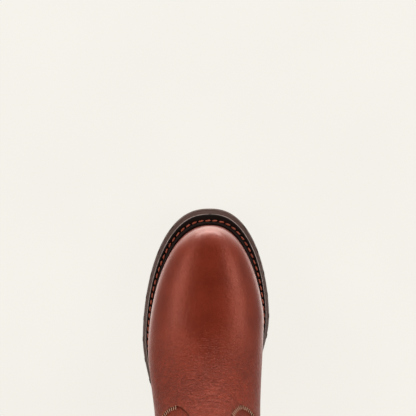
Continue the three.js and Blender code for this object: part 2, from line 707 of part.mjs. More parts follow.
function meshOf(name, solid, material) {
  const mesh = solid.getMesh();
  const geometry = new THREE.BufferGeometry();
  geometry.setAttribute("position", new THREE.BufferAttribute(mesh.vertProperties, 3));
  geometry.setIndex(new THREE.BufferAttribute(mesh.triVerts, 1));
  geometry.computeVertexNormals();
  const made = new THREE.Mesh(geometry, material);
  made.name = name;
  return made;
}

const boot = new THREE.Group();
boot.add(
  meshOf("upper", makeUpper(), redLeather),
  meshOf("vamp", makeVamp(), redLeather),
  meshOf("counter", makeCounter(), redLeather),
  meshOf("side_seam_inner", makeSideSeam(1), redLeather),
  meshOf("side_seam_outer", makeSideSeam(-1), redLeather),
  meshOf("collar_binding", makeBinding(), bindingLeather),
  meshOf("pull_strap_inner", makePullStrap(1), redLeather),
  meshOf("pull_strap_outer", makePullStrap(-1), redLeather),
  meshOf("insole", makeInsole(), footbedLeather),
  meshOf("welt", makeWelt(), weltRubber),
  meshOf("outsole", makeOutsole(), darkRubber),
  meshOf("heel", makeHeel(), darkRubber),
);

const box = new THREE.Box3().setFromObject(boot, true);
boot.position.set(-(box.min.x + box.max.x) / 2, -(box.min.y + box.max.y) / 2, -box.min.z);

export default boot;
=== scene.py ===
"""A pull-on work boot for the left foot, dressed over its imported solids."""

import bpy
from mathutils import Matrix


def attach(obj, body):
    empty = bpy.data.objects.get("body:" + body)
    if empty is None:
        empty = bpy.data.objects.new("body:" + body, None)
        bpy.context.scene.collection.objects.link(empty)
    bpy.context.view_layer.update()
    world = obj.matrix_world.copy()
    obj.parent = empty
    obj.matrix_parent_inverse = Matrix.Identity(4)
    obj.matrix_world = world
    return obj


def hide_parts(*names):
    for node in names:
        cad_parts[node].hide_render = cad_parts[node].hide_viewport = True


bl_info = {
    "name": "Pull-on Work Boot",
    "version": (1, 0, 0),
    "blender": (4, 5, 0),
    "location": "View3D > Sidebar > Boot",
    "description": "Leather upper, stitched welt and lugged sole of a pull-on work boot",
    "category": "Add Mesh",
}

import math

import bmesh
import bpy
import numpy as np
from bpy.props import FloatProperty, FloatVectorProperty, PointerProperty
from bpy.types import Operator, Panel, PropertyGroup
from mathutils import Matrix, Vector

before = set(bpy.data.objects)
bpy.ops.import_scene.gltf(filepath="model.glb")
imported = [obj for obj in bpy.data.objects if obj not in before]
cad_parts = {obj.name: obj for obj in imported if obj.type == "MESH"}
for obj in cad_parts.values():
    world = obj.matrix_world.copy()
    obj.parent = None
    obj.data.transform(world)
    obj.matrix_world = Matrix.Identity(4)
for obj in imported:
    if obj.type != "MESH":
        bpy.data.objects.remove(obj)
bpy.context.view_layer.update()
MM = 0.001


def srgb(code):
    """The linear colour of a hexadecimal screen colour."""
    parts = [int(code[i : i + 2], 16) / 255 for i in (0, 2, 4)]
    return tuple(c / 12.92 if c <= 0.04045 else ((c + 0.055) / 1.055) ** 2.4 for c in parts)


def shade(value, share=1.0):
    """A colour times a share, with its alpha."""
    return (*(share * part for part in value), 1.0)


def length(name, description, value):
    return FloatProperty(name=name, description=description, default=value, unit="LENGTH", precision=4)


def colour(name, description, code):
    return FloatVectorProperty(
        name=name, description=description, default=srgb(code), size=3, min=0, max=1, subtype="COLOR"
    )


class BootSizes(PropertyGroup):
    length: length("Length", "Outsole from the heel to the toe's tip", 0.308)
    ball_width: length("Ball width", "Outsole at its widest", 0.114)
    last_inset: length("Last inset", "Side of the last inside the outsole's edge at the ball", 0.008)
    heel_width: length("Heel width", "Outsole across the heel", 0.082)
    heel_rise: length("Heel rise", "Heel seat above the forefoot", 0.026)
    toe_spring: length("Toe spring", "Lift of the outsole's tip", 0.014)
    outsole_thick: length("Outsole", "Thickness at the ball with its lugs", 0.0115)
    shank_thick: length("Shank", "Outsole's thickness under the arch and heel", 0.0065)
    lug_depth: length("Lug depth", "Depth of the tread", 0.0044)
    lug_gap: length("Lug gap", "Width of the tread's channels", 0.0044)
    lug_pitch: length("Lug pitch", "Distance between the tread's channels", 0.019)
    heel_length: length("Heel length", "Heel block from back to breast", 0.082)
    heel_taper: length("Heel taper", "Heel's foot inside its top", 0.003)
    flare: length("Flare", "How far the outsole's foot stands out past its top", 0.0042)
    welt_thick: length("Welt", "Thickness of the welt", 0.0032)
    welt_inset: length("Welt inset", "Welt's edge inside the outsole's top edge", 0.0005)
    bead_rise: length("Bead", "Storm bead above the welt", 0.0022)
    seam_inset: length("Seam inset", "Sole stitching inside the outsole's foot at the toe", 0.01)
    seam_width: length("Seam width", "Channel of the sole stitching", 0.0018)
    insole_thick: length("Footbed", "Thickness of the footbed", 0.004)
    toe_setback: length("Toe setback", "Upper's tip behind the outsole's tip", 0.0156)
    toe_nose_rise: length("Nose rise", "Foremost point of the toe above the sole", 0.013)
    toe_nose_length: length("Nose length", "Depth of the toe's rounded front", 0.04)
    instep_rise: length("Instep", "Bend of the instep above the sole", 0.125)
    collar_height: length("Collar height", "Top edge at the sides", 0.276)
    collar_dip: length("Collar dip", "How far the collar drops in front and behind", 0.012)
    wall: length("Wall", "Shaft leather with its lining", 0.002)
    overlay: length("Overlay", "Vamp, counter and seam leather", 0.0018)
    binding: length("Binding", "Leather folded over the collar", 0.0012)
    binding_height: length("Binding height", "Depth of the collar's binding", 0.008)
    seam_strip: length("Seam strip", "Width of the side seams", 0.008)
    strap_width: length("Strap width", "Pull straps", 0.025)
    strap_thick: length("Strap", "Thickness of the pull straps", 0.002)
    strap_leg: length("Strap leg", "How far a pull strap runs down the shaft", 0.04)
    strap_loop: length("Strap loop", "Height of the loop above the collar", 0.017)
    strap_bulge: length("Strap bulge", "How far the loop stands out", 0.005)
    clearance: length("Clearance", "Gap between layers", 0.0003)
    seat_gap: length("Seat gap", "Gap above the outsole", 0.00045)
    sole_stitch: length("Sole stitch", "Pitch of the welt's stitching", 0.0061)
    fine_stitch: length("Fine stitch", "Pitch of the upper's stitching", 0.0029)


class BootColours(PropertyGroup):
    leather: colour("Leather", "Body of the leather", "6f2716")
    # Darker leather tone: its mottling, and the painted shade in its creases and between its pebbles
    leather_deep: colour("Deep leather", "Darker tone of the leather, and painted shade in its creases and between its pebbles", "571a0d")
    # Pale leather edge colour: real wear at cut and rubbed edges, and a painted highlight along the vamp's
    # raised edge
    leather_worn: colour("Worn leather and edge highlight", "Cut and rubbed edges, and the painted highlight along the vamp's raised edge", "b5765a")
    # Pale rubber colour: a painted highlight along the top edges of the outsole's and heel's sides
    rubber_worn: colour("Rubber edge highlight", "Painted highlight on the top edges of the sole's sides", "b09a94")
    lining: colour("Lining", "Inside of the shaft", "b99a78")
    footbed: colour("Footbed", "Footbed leather", "a98258")
    rubber: colour("Rubber", "Outsole and heel", "48332e")
    welt: colour("Welt", "Welt rubber", "1d1411")
    thread: colour("Sole thread", "Stitching of the welt", "a8482a")
    thread_fine: colour("Upper thread", "Stitching of the upper", "9a5a3c")
    thread_mark: colour("Edge thread", "Whipping over the vamp's edge", "e0b091")
    floor: colour("Floor", "Studio floor", "f2efe8")


def track(rows):
    """Smooth curve through rows of (place, value): a monotone cubic that never passes its rows."""
    at, value = np.array(rows, float).T
    step = np.diff(at)
    rate = np.diff(value) / step
    index = np.arange(len(at))
    before, after = rate[np.maximum(index - 1, 0)], rate[np.minimum(index, len(at) - 2)]
    total = np.where(before + after == 0, 1, before + after)
    slope = np.where(before * after > 0, 2 * before * after / total, 0)

    def curve(x):
        x = np.clip(x, at[0], at[-1])
        i = np.clip(np.searchsorted(at, x, side="right") - 1, 0, len(at) - 2)
        t = (x - at[i]) / step[i]
        ends = value[i] * (1 + 2 * t) * (1 - t) ** 2 + value[i + 1] * (3 - 2 * t) * t**2
        return ends + step[i] * (slope[i] * t * (1 - t) ** 2 - slope[i + 1] * t**2 * (1 - t))

    return curve


# Values along the boot, at shares of its length from the heel: the outsole's flare, the seam's
# inset, the sole's rise, and its thickness between the shank's and the ball's
FLARE_ALONG = track([(0, 0.3), (0.35, 0.3), (0.52, 0.66), (0.8, 0.7), (0.95, 0.9), (1, 1)])
SEAM_ALONG = track([(0, 0.54), (0.6, 0.54), (0.75, 0.57), (0.88, 0.68), (0.95, 0.82), (1, 1)])
SOLE_RISE = track([(0, 1.04), (0.13, 1), (0.27, 0.9), (0.4, 0.55), (0.5, 0.22), (0.6, 0), (0.7, 0)])
SOLE_BODY = track([(0.2, 0), (0.3, 0), (0.45, 0.1), (0.56, 0.8), (0.6, 1), (0.7, 1)])
SPRING_FROM = 0.715
# Outline for each side (1 inner, -1 outer): half widths by the ball's width, then the toe's and
# the heel's round ends as (share at which it begins, fall, roundness)
EDGE_ROWS = {1: [(0.4, 0.305), (0.682, 0.468)], -1: [(0.34, 0.38), (0.617, 0.532)]}
SOLE_TOE = {1: (0.682, 1.85, 2.4), -1: (0.617, 1.85, 2.4)}
LAST_TOE = {1: (0.685, 1.5, 2.25), -1: (0.594, 1.9, 2.1)}
HEEL_END = (0.125, 2.15, 2.15)
# Sections from toe to collar: share of the length and rise of its front point and of its back
# point, inner and outer half width, share at the widest line, powers of its crown and its seat
SECTIONS = np.array(
    [
        (0.957, 0.265, 0.957, -0.09, 0.4618, 0.5374, 0.54, 2.1, 2.5),
        (0.9, 0.29, 0.9, -0.096, 0.4618, 0.5374, 0.54, 2.1, 2.5),
        (0.8, 0.345, 0.8, -0.096, 0.4618, 0.5374, 0.56, 2.1, 2.5),
        (0.7, 0.41, 0.7, -0.096, 0.4618, 0.5374, 0.56, 2.05, 2.5),
        (0.6, 0.5, 0.6, -0.096, 0.4502, 0.5374, 0.55, 1.95, 2.5),
        (0.52, 0.6, 0.52, -0.096, 0.4304, 0.5118, 0.52, 1.9, 2.4),
        (0.475, 0.7, 0.4, -0.096, 0.4153, 0.4746, 0.5, 1.88, 2.9),
        (0.449, 0.808, 0.262, -0.096, 0.4095, 0.4513, 0.5, 1.88, 3.5),
        (0.434, 0.912, 0.135, -0.096, 0.4071, 0.4351, 0.5, 1.9, 3.9),
        (0.425, 1, 0.026, -0.09, 0.4095, 0.4304, 0.5, 1.95, 3.4),
        (0.419, 1.1, 0.012, 0.17, 0.4153, 0.4327, 0.5, 2, 2.4),
        (0.415, 1.28, 0.024, 0.48, 0.4304, 0.4467, 0.5, 2.05, 2.1),
        (0.413, 1.54, 0.036, 0.88, 0.4513, 0.4676, 0.5, 2.1, 2.05),
        (0.416, 1.84, 0.026, 1.42, 0.47, 0.4886, 0.5, 2.15, 2.15),
        (0.421, 2.14, 0.01, 2.04, 0.4793, 0.5002, 0.5, 2.2, 2.2),
    ]
)
COLUMNS = [track(list(enumerate(column))) for column in SECTIONS.T]
END = len(SECTIONS) - 1
NOSE_ROUND = (2.3, 2.3)
# Vamp's edge and counter's top edge: share round the section, place along the last
VAMP_EDGE = track(
    [
        (0, 9.15), (0.05, 9.05), (0.09, 8.5), (0.115, 7.4), (0.138, 6.42), (0.157, 6.15), (0.18, 5.96),
        (0.21, 5.87), (0.25, 5.93), (0.3, 6.08), (0.35, 6.3), (0.4, 6.58), (0.44, 6.8), (0.5, 6.95),
        (0.62, 6.65), (0.8, 6.5), (1, 6.5),
    ]
)
COUNTER_EDGE = track([(0.53, 8.2), (0.56, 9.3), (0.64, 9.95), (0.76, 10.35), (0.88, 10.65), (1, 10.8)])
COUNTER_GAP = 0.035
# A block's side: share of its flare, inset in mm, level from its foot to its top
SOLE_SIDE = np.array(
    [
        (0, 1.2, 0), (0, 0.45, 0.02), (0, 0, 0.09), (0.12, 0, 0.28), (0.2, 0, 0.4), (0.25, 0, 0.49),
        (0.27, 0.25, 0.51), (0.28, 0.8, 0.53), (0.31, 0.8, 0.6), (0.33, 0.25, 0.62), (0.35, 0, 0.64),
        (0.6, 0, 0.78), (0.85, 0, 0.91), (0.95, 0.02, 0.96), (1, 0.3, 1),
    ]
)
HEEL_SIDE = np.array(
    [
        (1, 1, 0), (1, 0.4, 0.015), (1, 0, 0.05), (0.7, 0, 0.255), (0.7, 0.2, 0.265), (0.7, 0.7, 0.28),
        (0.7, 0.7, 0.31), (0.68, 0.2, 0.325), (0.66, 0, 0.335), (0.43, 0, 0.64), (0.2, 0, 0.95),
        (0.2, 0.4, 1),
    ]
)
# Columns of a block's bottom in mm from the spine, closer where its half width is small
BLOCK_COLUMNS, BLOCK_NARROW = np.array([0, 4, 8, 12, 16, 17.15, 17.75, 19.4, 21.05, 21.65]), 27
GROOVE_AT, GROOVE_HALF = 19.4, 1.9  # the tread's lengthwise grooves, in mm from the spine
BREAST_LEAN = 6  # mm by which the heel's breast slants back to its foot
# Creases: place along the last, from and to round it, depth and width in mm, slant, waves
CREASES = [
    (3.95, -0.26, 0.2, 0.1, 2.6, 0.5, 1.0),
    (4.35, -0.2, 0.3, 0.12, 2.8, -0.4, 1.3),
    (4.8, -0.33, 0.16, 0.13, 3.0, 0.35, 0.9),
    (5.2, -0.14, 0.3, 0.12, 2.6, -0.3, 1.5),
    (7.9, -0.42, 0.1, 0.5, 4.2, 0.7, 0.8),
    (8.6, -0.2, 0.46, 0.6, 4.6, -0.6, 1.1),
    (9.3, -0.5, 0.3, 0.55, 4.8, 0.8, 0.9),
    (9.9, -0.34, 0.52, 0.5, 4.6, -0.5, 1.0),
    (10.6, 0.5, 1.3, 0.4, 5.0, 0.3, 1.0),
    (10.3, -1.2, -0.55, 0.4, 5.0, -0.3, 1.2),
]

FOOT_END = 9.6  # place at which the upper's rows leave the foot for the shaft
COLLAR_FROM = 9.7  # place above which a height on the shaft is searched
VAMP_ROUND = 5.0  # place up to which the vamp's rows run evenly, behind it they bend to its edge
SKIN_THIN = 0.4  # mm by which an overlay's sheet is thinner than its layer
WHIP_ARCS = ((-0.5, -0.205), (0.138, 0.5))  # shares round the vamp's edge that carry threads
WHIP_PAST, WHIP_PITCH, WHIP_THREAD = 1.8, 2.4, (3.8, 0.66)  # mm, a thread's length and width
COUNTER_FROM, COUNTER_FLAT = 0.53, 0.965  # the counter's ends, and where its foot levels out
COUNTER_ROWS, COLLAR_ROW = (3.2, 5.8), 6.0  # mm of stitching under an edge
SEAM_ROWS = 0.62  # share of a seam strip's half width at its stitching
THREAD_FLAT = 0.8  # height of a thread by its width
EDGE_ROLL, EDGE_REACH = 0.75, 1.4  # mm that a cut edge curves down, and over which distance
LEATHER_WARP = 0.0035  # metres by which the pebble's cells are pushed about
LEATHER_TINT, LEATHER_SPECULAR, RUBBER_SPECULAR = (1, 0.33, 0.24, 1), 0.75, 0.08
COAT_ROUGH, COAT_FROM = 0.3, (0.12, 0.137)  # the coat begins and is full at these y, in metres
GRAIN_DULL = 0.18  # roughness that a full grain adds


def mix(a, b, t):
    return a + (b - a) * t


def smooth(low, high, x):
    t = np.clip((x - low) / (high - low), 0, 1)
    return t * t * (3 - 2 * t)


def cap(ratio, fall, round_):
    """Rounded end: one at ratio 0 and nought at 1, as a superellipse."""
    return (1 - np.clip(ratio, 0, 1) ** fall) ** (1 / round_)


def unit(v):
    return v / np.maximum(np.linalg.norm(v, axis=-1, keepdims=True), 1e-9)


def halve(low, high, value, rounds=24):
    """Where a rising function of arrays of places reaches nought, by halving."""
    low, high = np.array(low, float), np.array(high, float)
    for _ in range(rounds):
        middle = (low + high) / 2
        under = value(middle) < 0
        low, high = np.where(under, middle, low), np.where(under, high, middle)
    return (low + high) / 2


class Last:
    """The boot's form in millimetres. p runs over the sections from toe to collar and u round
    one of them: 0 crest, 0.5 inner side, 1 or -1 back, -0.5 outer side. A section is half a
    superellipse to the front and half to the back, in a plane between its two points."""

    def __init__(self, sizes):
        for name in type(sizes).__annotations__:
            setattr(self, name, getattr(sizes, name) / MM)
        self.spine = 0.032 * self.ball_width
        self.last_width = self.ball_width - 2 * self.last_inset
        self.tip_y = self.y_of(1) - self.toe_setback
        self.tip_z = self.sole_top(self.tip_y) + self.toe_nose_rise

    def y_of(self, at):
        return (at - 0.5) * self.length

    def at_of(self, y):
        return y / self.length + 0.5

    def sole_top(self, y):
        at = self.at_of(np.asarray(y, float))
        spring = np.maximum(0, (at - SPRING_FROM) / (1 - SPRING_FROM)) ** 2
        return self.outsole_thick + self.heel_rise * SOLE_RISE(at) + self.toe_spring * spring

    def sole_bottom(self, y):
        body = SOLE_BODY(self.at_of(y))
        return self.sole_top(y) - mix(self.shank_thick, self.outsole_thick, body)

    def edge(self, side, at):
        """Half width of the outsole on one side at a share of the length."""
        heel, ball = self.heel_width / 2, self.ball_width
        rows = [(place, share * ball) for place, share in EDGE_ROWS[side]]
        width = track([(0, heel), (HEEL_END[0], heel), *rows, (1, rows[-1][1])])(at)
        start, fall, round_ = SOLE_TOE[side]
        width = width * cap((at - start) / (1 - start), fall, round_)
        return width * cap(1 - at / HEEL_END[0], HEEL_END[1], HEEL_END[2])

    def place(self, at, p):
        y, first, second = self.y_of(at), self.y_of(SECTIONS[0, 0]), self.y_of(SECTIONS[1, 0])
        return np.where(p >= 1, y, mix(self.tip_y, second, (y - first) / (second - first)))

    def rise(self, share):
        shaft = self.collar_height - self.sole_top(self.y_of(0.42))
        upper = mix(self.instep_rise, shaft, share - 1)
        return np.where(share <= 1, share * self.instep_rise, upper)

    def point(self, p, u):
        p, u = np.broadcast_arrays(np.asarray(p, float), np.asarray(u, float))
        front_at, front_rise, back_at, back_rise, inner, outer, widest, crown, seat = (
            column(p) for column in COLUMNS
        )
        front, back = self.place(front_at, p), self.place(back_at, p)
        nose = cap(1 - (self.tip_y - front) / self.toe_nose_length, *NOSE_ROUND)
        top = mix(self.tip_z, self.sole_top(front) + self.rise(front_rise), nose)
        low = mix(self.tip_z, self.sole_top(back) + self.rise(back_rise), nose)
        u = np.where(u > 1, u - 2, np.where(u < -1, u + 2, u))
        angle = np.abs(u) * math.pi
        ahead = angle < math.pi / 2
        round_ = np.where(ahead, crown, seat)
        across = np.abs(np.sin(angle)) ** (2 / round_)
        along = np.abs(np.cos(angle)) ** (2 / round_)
        depth = np.where(ahead, widest * (1 - along), widest + (1 - widest) * along)
        width = np.zeros_like(p)
        for side, share in ((1, inner), (-1, outer)):
            start, fall, blunt = LAST_TOE[side]
            start = self.y_of(start)
            reach = cap((front - start) / (self.tip_y - start), fall, blunt)
            width = np.where((u >= 0) == (side > 0), side * share * self.last_width * reach, width)
        return np.stack(
            [self.spine + width * across, mix(front, back, depth), mix(top, low, depth)], -1
        )

    def slopes(self, p, u):
        """Change of the surface's point with p and with u, by central differences."""
        step = 2e-3
        q = np.clip(p, 0.02, END - step)
        along = (self.point(q + step, u) - self.point(q - step, u)) / (2 * step)
        around = (self.point(q, u + step) - self.point(q, u - step)) / (2 * step)
        return along, around

    def normal(self, p, u):
        along, around = self.slopes(p, u)
        return unit(np.cross(along, around))

    def out(self, p, u, out):
        """The surface moved outwards; its pole at the toe moves forwards."""
        p, u, out = np.broadcast_arrays(np.asarray(p, float), np.asarray(u, float), out)
        if not np.any(out):
            return self.point(p, u)
        made = self.point(p, u) + self.normal(p, u) * out[..., None]
        tip = np.stack([np.full(p.shape, self.spine), self.tip_y + out, np.full(p.shape, self.tip_z)], -1)
        return np.where((p < 1e-6)[..., None], tip, made)

    def foot(self, p, side, out, lift):
        """Share round the section at which the surface comes down to the sole's top."""

        def above(u):
            here = self.out(p, side * u, out)
            return -(here[..., 2] - self.sole_top(here[..., 1]) - lift)

        return halve(np.full_like(p, 0.45), np.ones_like(p), above)

    def collar(self, y):
        """Height of the collar's edge: highest at the sides, with a parabolic dip."""
        front, back = self.y_of(SECTIONS[-1, 0]), self.y_of(SECTIONS[-1, 2])
        ratio = (y - (front + back) / 2) / ((front - back) / 2)
        return self.collar_height - self.collar_dip * np.minimum(1.2, ratio**2)

    def at_height(self, u, out, height):
        """Place along the last at which the shaft's surface reaches a height round u."""

        def over(p):
            here = self.out(p, u, out)
            return here[..., 2] - height(here[..., 1])

        u = np.asarray(u, float)
        return halve(np.full(u.shape, COLLAR_FROM), np.full(u.shape, float(END)), over)

    def side(self, sign, y, z):
        """Place (p, u) on the shaft's side with a given y and z, by Newton's steps from the
        widest line."""
        y, z = np.broadcast_arrays(np.asarray(y, float), np.asarray(z, float))
        line = np.linspace(7, END, 120)
        p = np.interp(z, self.point(line, sign * 0.5)[:, 2], line)
        u = np.full(y.shape, sign * 0.5)
        for _ in range(14):
            gap = np.stack([y, z], -1) - self.point(p, u)[..., 1:]
            along, around = self.slopes(p, u)
            area = along[..., 1] * around[..., 2] - around[..., 1] * along[..., 2]
            move = (gap[..., 0] * around[..., 2] - around[..., 1] * gap[..., 1]) / area
            turn = (along[..., 1] * gap[..., 1] - gap[..., 0] * along[..., 2]) / area
            p = np.clip(p + move, 7, END)
            u = u + np.clip(turn, -0.05, 0.05)
        return p, u

    def creases(self, p, u):
        """Soft troughs with a low ridge at each side, each along its own wavy line."""
        along, _ = self.slopes(p, u)
        scale = np.linalg.norm(along, axis=-1)
        total = np.zeros(np.broadcast(p, u).shape)
        for place, start, stop, depth, wide, slant, waves in CREASES:
            middle, half = (start + stop) / 2, (stop - start) / 2
            turn = (u - middle) / half
            line = place + slant * 0.18 * turn + 0.05 * np.sin(waves * 4 * turn + place)
            ratio = (p - line) * scale / wide
            fade = np.clip(1 - turn**2, 0, 1) ** 1.5
            total -= depth * fade * (1 - 0.8 * ratio**2) * np.exp(-0.5 * ratio**2)
        return total

    def grain(self, p):
        """Where the leather is pebbled and finely creased: little at the toe, most at the bend."""
        return np.clip(0.06 + 0.94 * smooth(2.9, 5.0, p) - 0.35 * smooth(9, 12, p), 0, 1)


# Meshes
def placed(name, data):
    """A new object in the scene."""
    made = bpy.data.objects.new(name, data)
    bpy.context.scene.collection.objects.link(made)
    return made


def grid(rows, columns, wrap=False, loop=False):
    """Quads of a grid of points, whose row then column directions turn about the outside."""
    index = np.arange(rows * columns).reshape(rows, columns)
    if wrap:
        index = np.concatenate([index, index[:, :1]], 1)
    if loop:
        index = np.concatenate([index, index[:1]], 0)
    quads = np.stack([index[:-1, :-1], index[1:, :-1], index[1:, 1:], index[:-1, 1:]], -1)
    return quads.reshape(-1, 4)


def build(name, points, faces, materials, closed=False, merge=0.02, sharp=None, **values):
    """A smooth piece from points in mm, with its doubles merged and its values on the points."""
    mesh = bpy.data.meshes.new(name)
    mesh.from_pydata(np.asarray(points).reshape(-1, 3) * MM, [], faces.tolist())
    for key, value in values.items():
        data = mesh.attributes.new(key, "FLOAT", "POINT").data
        data.foreach_set("value", np.broadcast_to(value, points.shape[:-1]).ravel().astype(np.float32))
    made = bmesh.new()
    made.from_mesh(mesh)
    bmesh.ops.remove_doubles(made, verts=made.verts, dist=merge * MM)
    flat = [face for face in made.faces if face.calc_area() < 1e-13]
    bmesh.ops.delete(made, geom=flat, context="FACES_ONLY")
    if closed:
        bmesh.ops.recalc_face_normals(made, faces=made.faces)
    made.to_mesh(mesh)
    made.free()
    mesh.shade_smooth()
    if sharp:
        mesh.set_sharp_from_angle(angle=math.radians(sharp))
    for material in materials:
        mesh.materials.append(material)
    piece = placed(name, mesh)
    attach(piece, "root")
    return piece


def thicken(piece, thick, inner=0):
    """Gives a sheet its thickness, inwards."""
    solid = piece.modifiers.new("thickness", "SOLIDIFY")
    solid.thickness = thick * MM
    solid.offset = -1
    solid.use_even_offset = False
    solid.material_offset = inner


def resample(points, pitch, *others):
    """Points at an even pitch along a line, with the same places of other arrays."""
    step = np.linalg.norm(np.diff(points, axis=0), axis=1)
    run = np.concatenate([[0], np.cumsum(step)])
    count = max(2, round(run[-1] / pitch))
    at = (np.arange(count) + 0.5) * run[-1] / count
    pick = lambda array: np.stack([np.interp(at, run, column) for column in array.T], -1)
    return [pick(array) for array in (points, *others)]


def threads(name, runs, long, wide, sink, material, blunt=3.2, rings=5, around=6):
    """Threads: each is a capsule, a superellipse in length and an ellipse across, sunk at the
    share a from -1 to 1 of its length by sink(a). runs holds (points, along, normals) of lines."""
    a = np.linspace(-1, 1, rings)[:, None]
    b = np.linspace(0, 2 * math.pi, around, endpoint=False)[None, :]
    radius = (1 - np.abs(a) ** blunt) ** 0.5 * wide / 2
    level = radius * THREAD_FLAT * np.sin(b) - sink(a)
    parts = []
    for points, along, normal in runs:
        side = np.cross(normal, along)
        shape = [(a * long / 2 + 0 * b, along), (radius * np.cos(b), side), (level, normal)]
        parts.append(points[:, None, None] + sum(s[None, ..., None] * v[:, None, None] for s, v in shape))
    whole = np.concatenate(parts)
    first = (np.arange(len(whole)) * rings * around)[:, None, None]
    faces = (grid(rings, around, wrap=True)[None] + first).reshape(-1, 4)
    return build(name, whole, faces, [material], closed=True, merge=0.002)


def stitches(name, runs, finish, long=2.3, wide=0.6, slant=0.0, arch=0.35, **counts):
    """Stitches along lines of (points, normals), bowed so that their ends dive into the leather."""
    turned = []
    for points, normals in runs:
        tangent = unit(np.gradient(points, axis=0))
        normal = unit(normals - tangent * (normals * tangent).sum(-1, keepdims=True))
        turned.append((points, unit(tangent + np.cross(normal, tangent) * slant), normal))
    return threads(name, turned, long, wide, lambda a: arch * wide * a**2, finish_of(finish), **counts)


def seam_run(last, p, u, out):
    """Places of fine stitches along a line on the last's surface, with their normals."""
    points = last.out(p, u, out + last.creases(p, u))
    return resample(points, last.fine_stitch, last.normal(p, u))


def rolled(inside):
    """How far a cut edge of leather curves down, by the distance inside that edge in mm."""
    return EDGE_ROLL * (1 - np.sqrt(1 - (1 - np.clip(inside / EDGE_REACH, 0, 1)) ** 2))


# Materials
def node(tree, kind, inputs=None, **settings):
    made = tree.nodes.new("ShaderNode" + kind)
    for key, value in settings.items():
        setattr(made, key, value)
    for key, value in (inputs or {}).items():
        if isinstance(value, bpy.types.NodeSocket):
            tree.links.new(value, made.inputs[key])
        else:
            made.inputs[key].default_value = value
    return made


def maths(tree, operation, a, b=0.5, c=0.5):
    return node(tree, "Math", {0: a, 1: b, 2: c}, operation=operation).outputs[0]


def blend(tree, factor, a, b):
    return node(tree, "Mix", {0: factor, 6: a, 7: b}, data_type="RGBA").outputs[2]


def times(tree, a, b):
    return maths(tree, "MULTIPLY", a, b)


def plus(tree, a, share, b):
    """A value times its share, plus another."""
    return maths(tree, "MULTIPLY_ADD", a, share, b)


def vectors(tree, operation, a, b=(0, 0, 0)):
    made = node(tree, "VectorMath", {0: a, 1: b}, operation=operation)
    return made.outputs[1 if operation in ("DISTANCE", "LENGTH") else 0]


def noise(tree, place, scale, detail, **more):
    return node(tree, "TexNoise", {"Vector": place, "Scale": scale, "Detail": detail, **more}).outputs[0]


def spread(tree, value, low, high, to_low=0.0, to_high=1.0):
    return node(tree, "MapRange", {0: value, 1: low, 2: high, 3: to_low, 4: to_high}).outputs[0]


def new_group(name, **inputs):
    """A node group that gives tone, gloss and height: its tree and the sockets of its two ends."""
    tree = bpy.data.node_groups.new(name, "ShaderNodeTree")
    for key, value in inputs.items():
        tree.interface.new_socket(key, in_out="INPUT", socket_type="NodeSocketFloat").default_value = value
    for key in ("Tone", "Gloss", "Height"):
        tree.interface.new_socket(key, in_out="OUTPUT", socket_type="NodeSocketFloat")
    return tree, tree.nodes.new("NodeGroupInput").outputs, tree.nodes.new("NodeGroupOutput").inputs


def give(tree, made, *values):
    """Leads the tone, gloss and height of a group out."""
    for key, value in zip(("Tone", "Gloss", "Height"), values):
        tree.links.new(value, made[key])
    return tree


def object_place(tree, scale=(1, 1, 1), turn=(0, 0, 0)):
    where = node(tree, "TexCoord").outputs["Object"]
    return node(tree, "Mapping", {"Vector": where, "Scale": scale, "Rotation": turn}).outputs[0]


def leather_group():
    """Tone, gloss and height of leather: slow mottling, faint streaks along the foot, a pebble
    of smooth cells and fine pores, and thin wavy creases across where the grain is strong.
    The creases and the valleys between the pebble's cells are darkened in the tone as painted shade."""
    tree, given, made = new_group("leather_skin", Grain=1.0, Pebble=1.0)
    place = object_place(tree)
    warp = node(tree, "TexNoise", {"Vector": place, "Scale": 130.0, "Detail": 2.0}).outputs["Color"]
    shifted = vectors(tree, "SUBTRACT", warp, (0.5, 0.5, 0.5))
    shifted = vectors(tree, "ADD", vectors(tree, "MULTIPLY", shifted, (LEATHER_WARP,) * 3), place)
    mottle = noise(tree, place, 30.0, 4.0, Roughness=0.5)
    cloud = noise(tree, place, 260.0, 4.0)
    streak = noise(tree, object_place(tree, (210, 22, 90)), 1.0, 3.0)
    cells = {"Vector": shifted, "Scale": 520.0, "Smoothness": 0.5}
    cells = node(tree, "TexVoronoi", cells, feature="SMOOTH_F1").outputs[0]
    pores = noise(tree, place, 2300.0, 2.0)
    fold = noise(tree, vectors(tree, "MULTIPLY", shifted, (70, 520, 420)), 1.0, 3.0, Roughness=0.55)
    fold = maths(tree, "ABSOLUTE", maths(tree, "SUBTRACT", fold, 0.5))
    fold = times(tree, spread(tree, fold, 0.0, 0.055, 1.0, 0.0), given["Grain"])
    pebble = times(tree, spread(tree, cells, 0.1, 0.62, 1.0, 0.0), given["Grain"])
    pebble = times(tree, pebble, given["Pebble"])
    fleck = times(tree, maths(tree, "SUBTRACT", cloud, 0.5), given["Grain"])
    tone = plus(tree, mottle, 1.2, -0.1)
    tone = plus(tree, maths(tree, "SUBTRACT", streak, 0.5), 0.36, tone)
    # Painted shade: the tone is darker along the creases' troughs
    tone = plus(tree, fold, -0.22, plus(tree, fleck, 1.1, tone))
    # Painted light and shade: the pebble's raised cells are a little lighter and the valleys between them
    # darker
    tone = plus(tree, maths(tree, "SUBTRACT", pebble, 0.5), 0.16, tone)
    gloss = plus(tree, cloud, 0.5, times(tree, mottle, 0.5))
    height = plus(tree, pores, 0.1, plus(tree, cloud, 0.28, times(tree, pebble, 0.55)))
    return give(tree, made, tone, gloss, plus(tree, fold, -0.5, height))


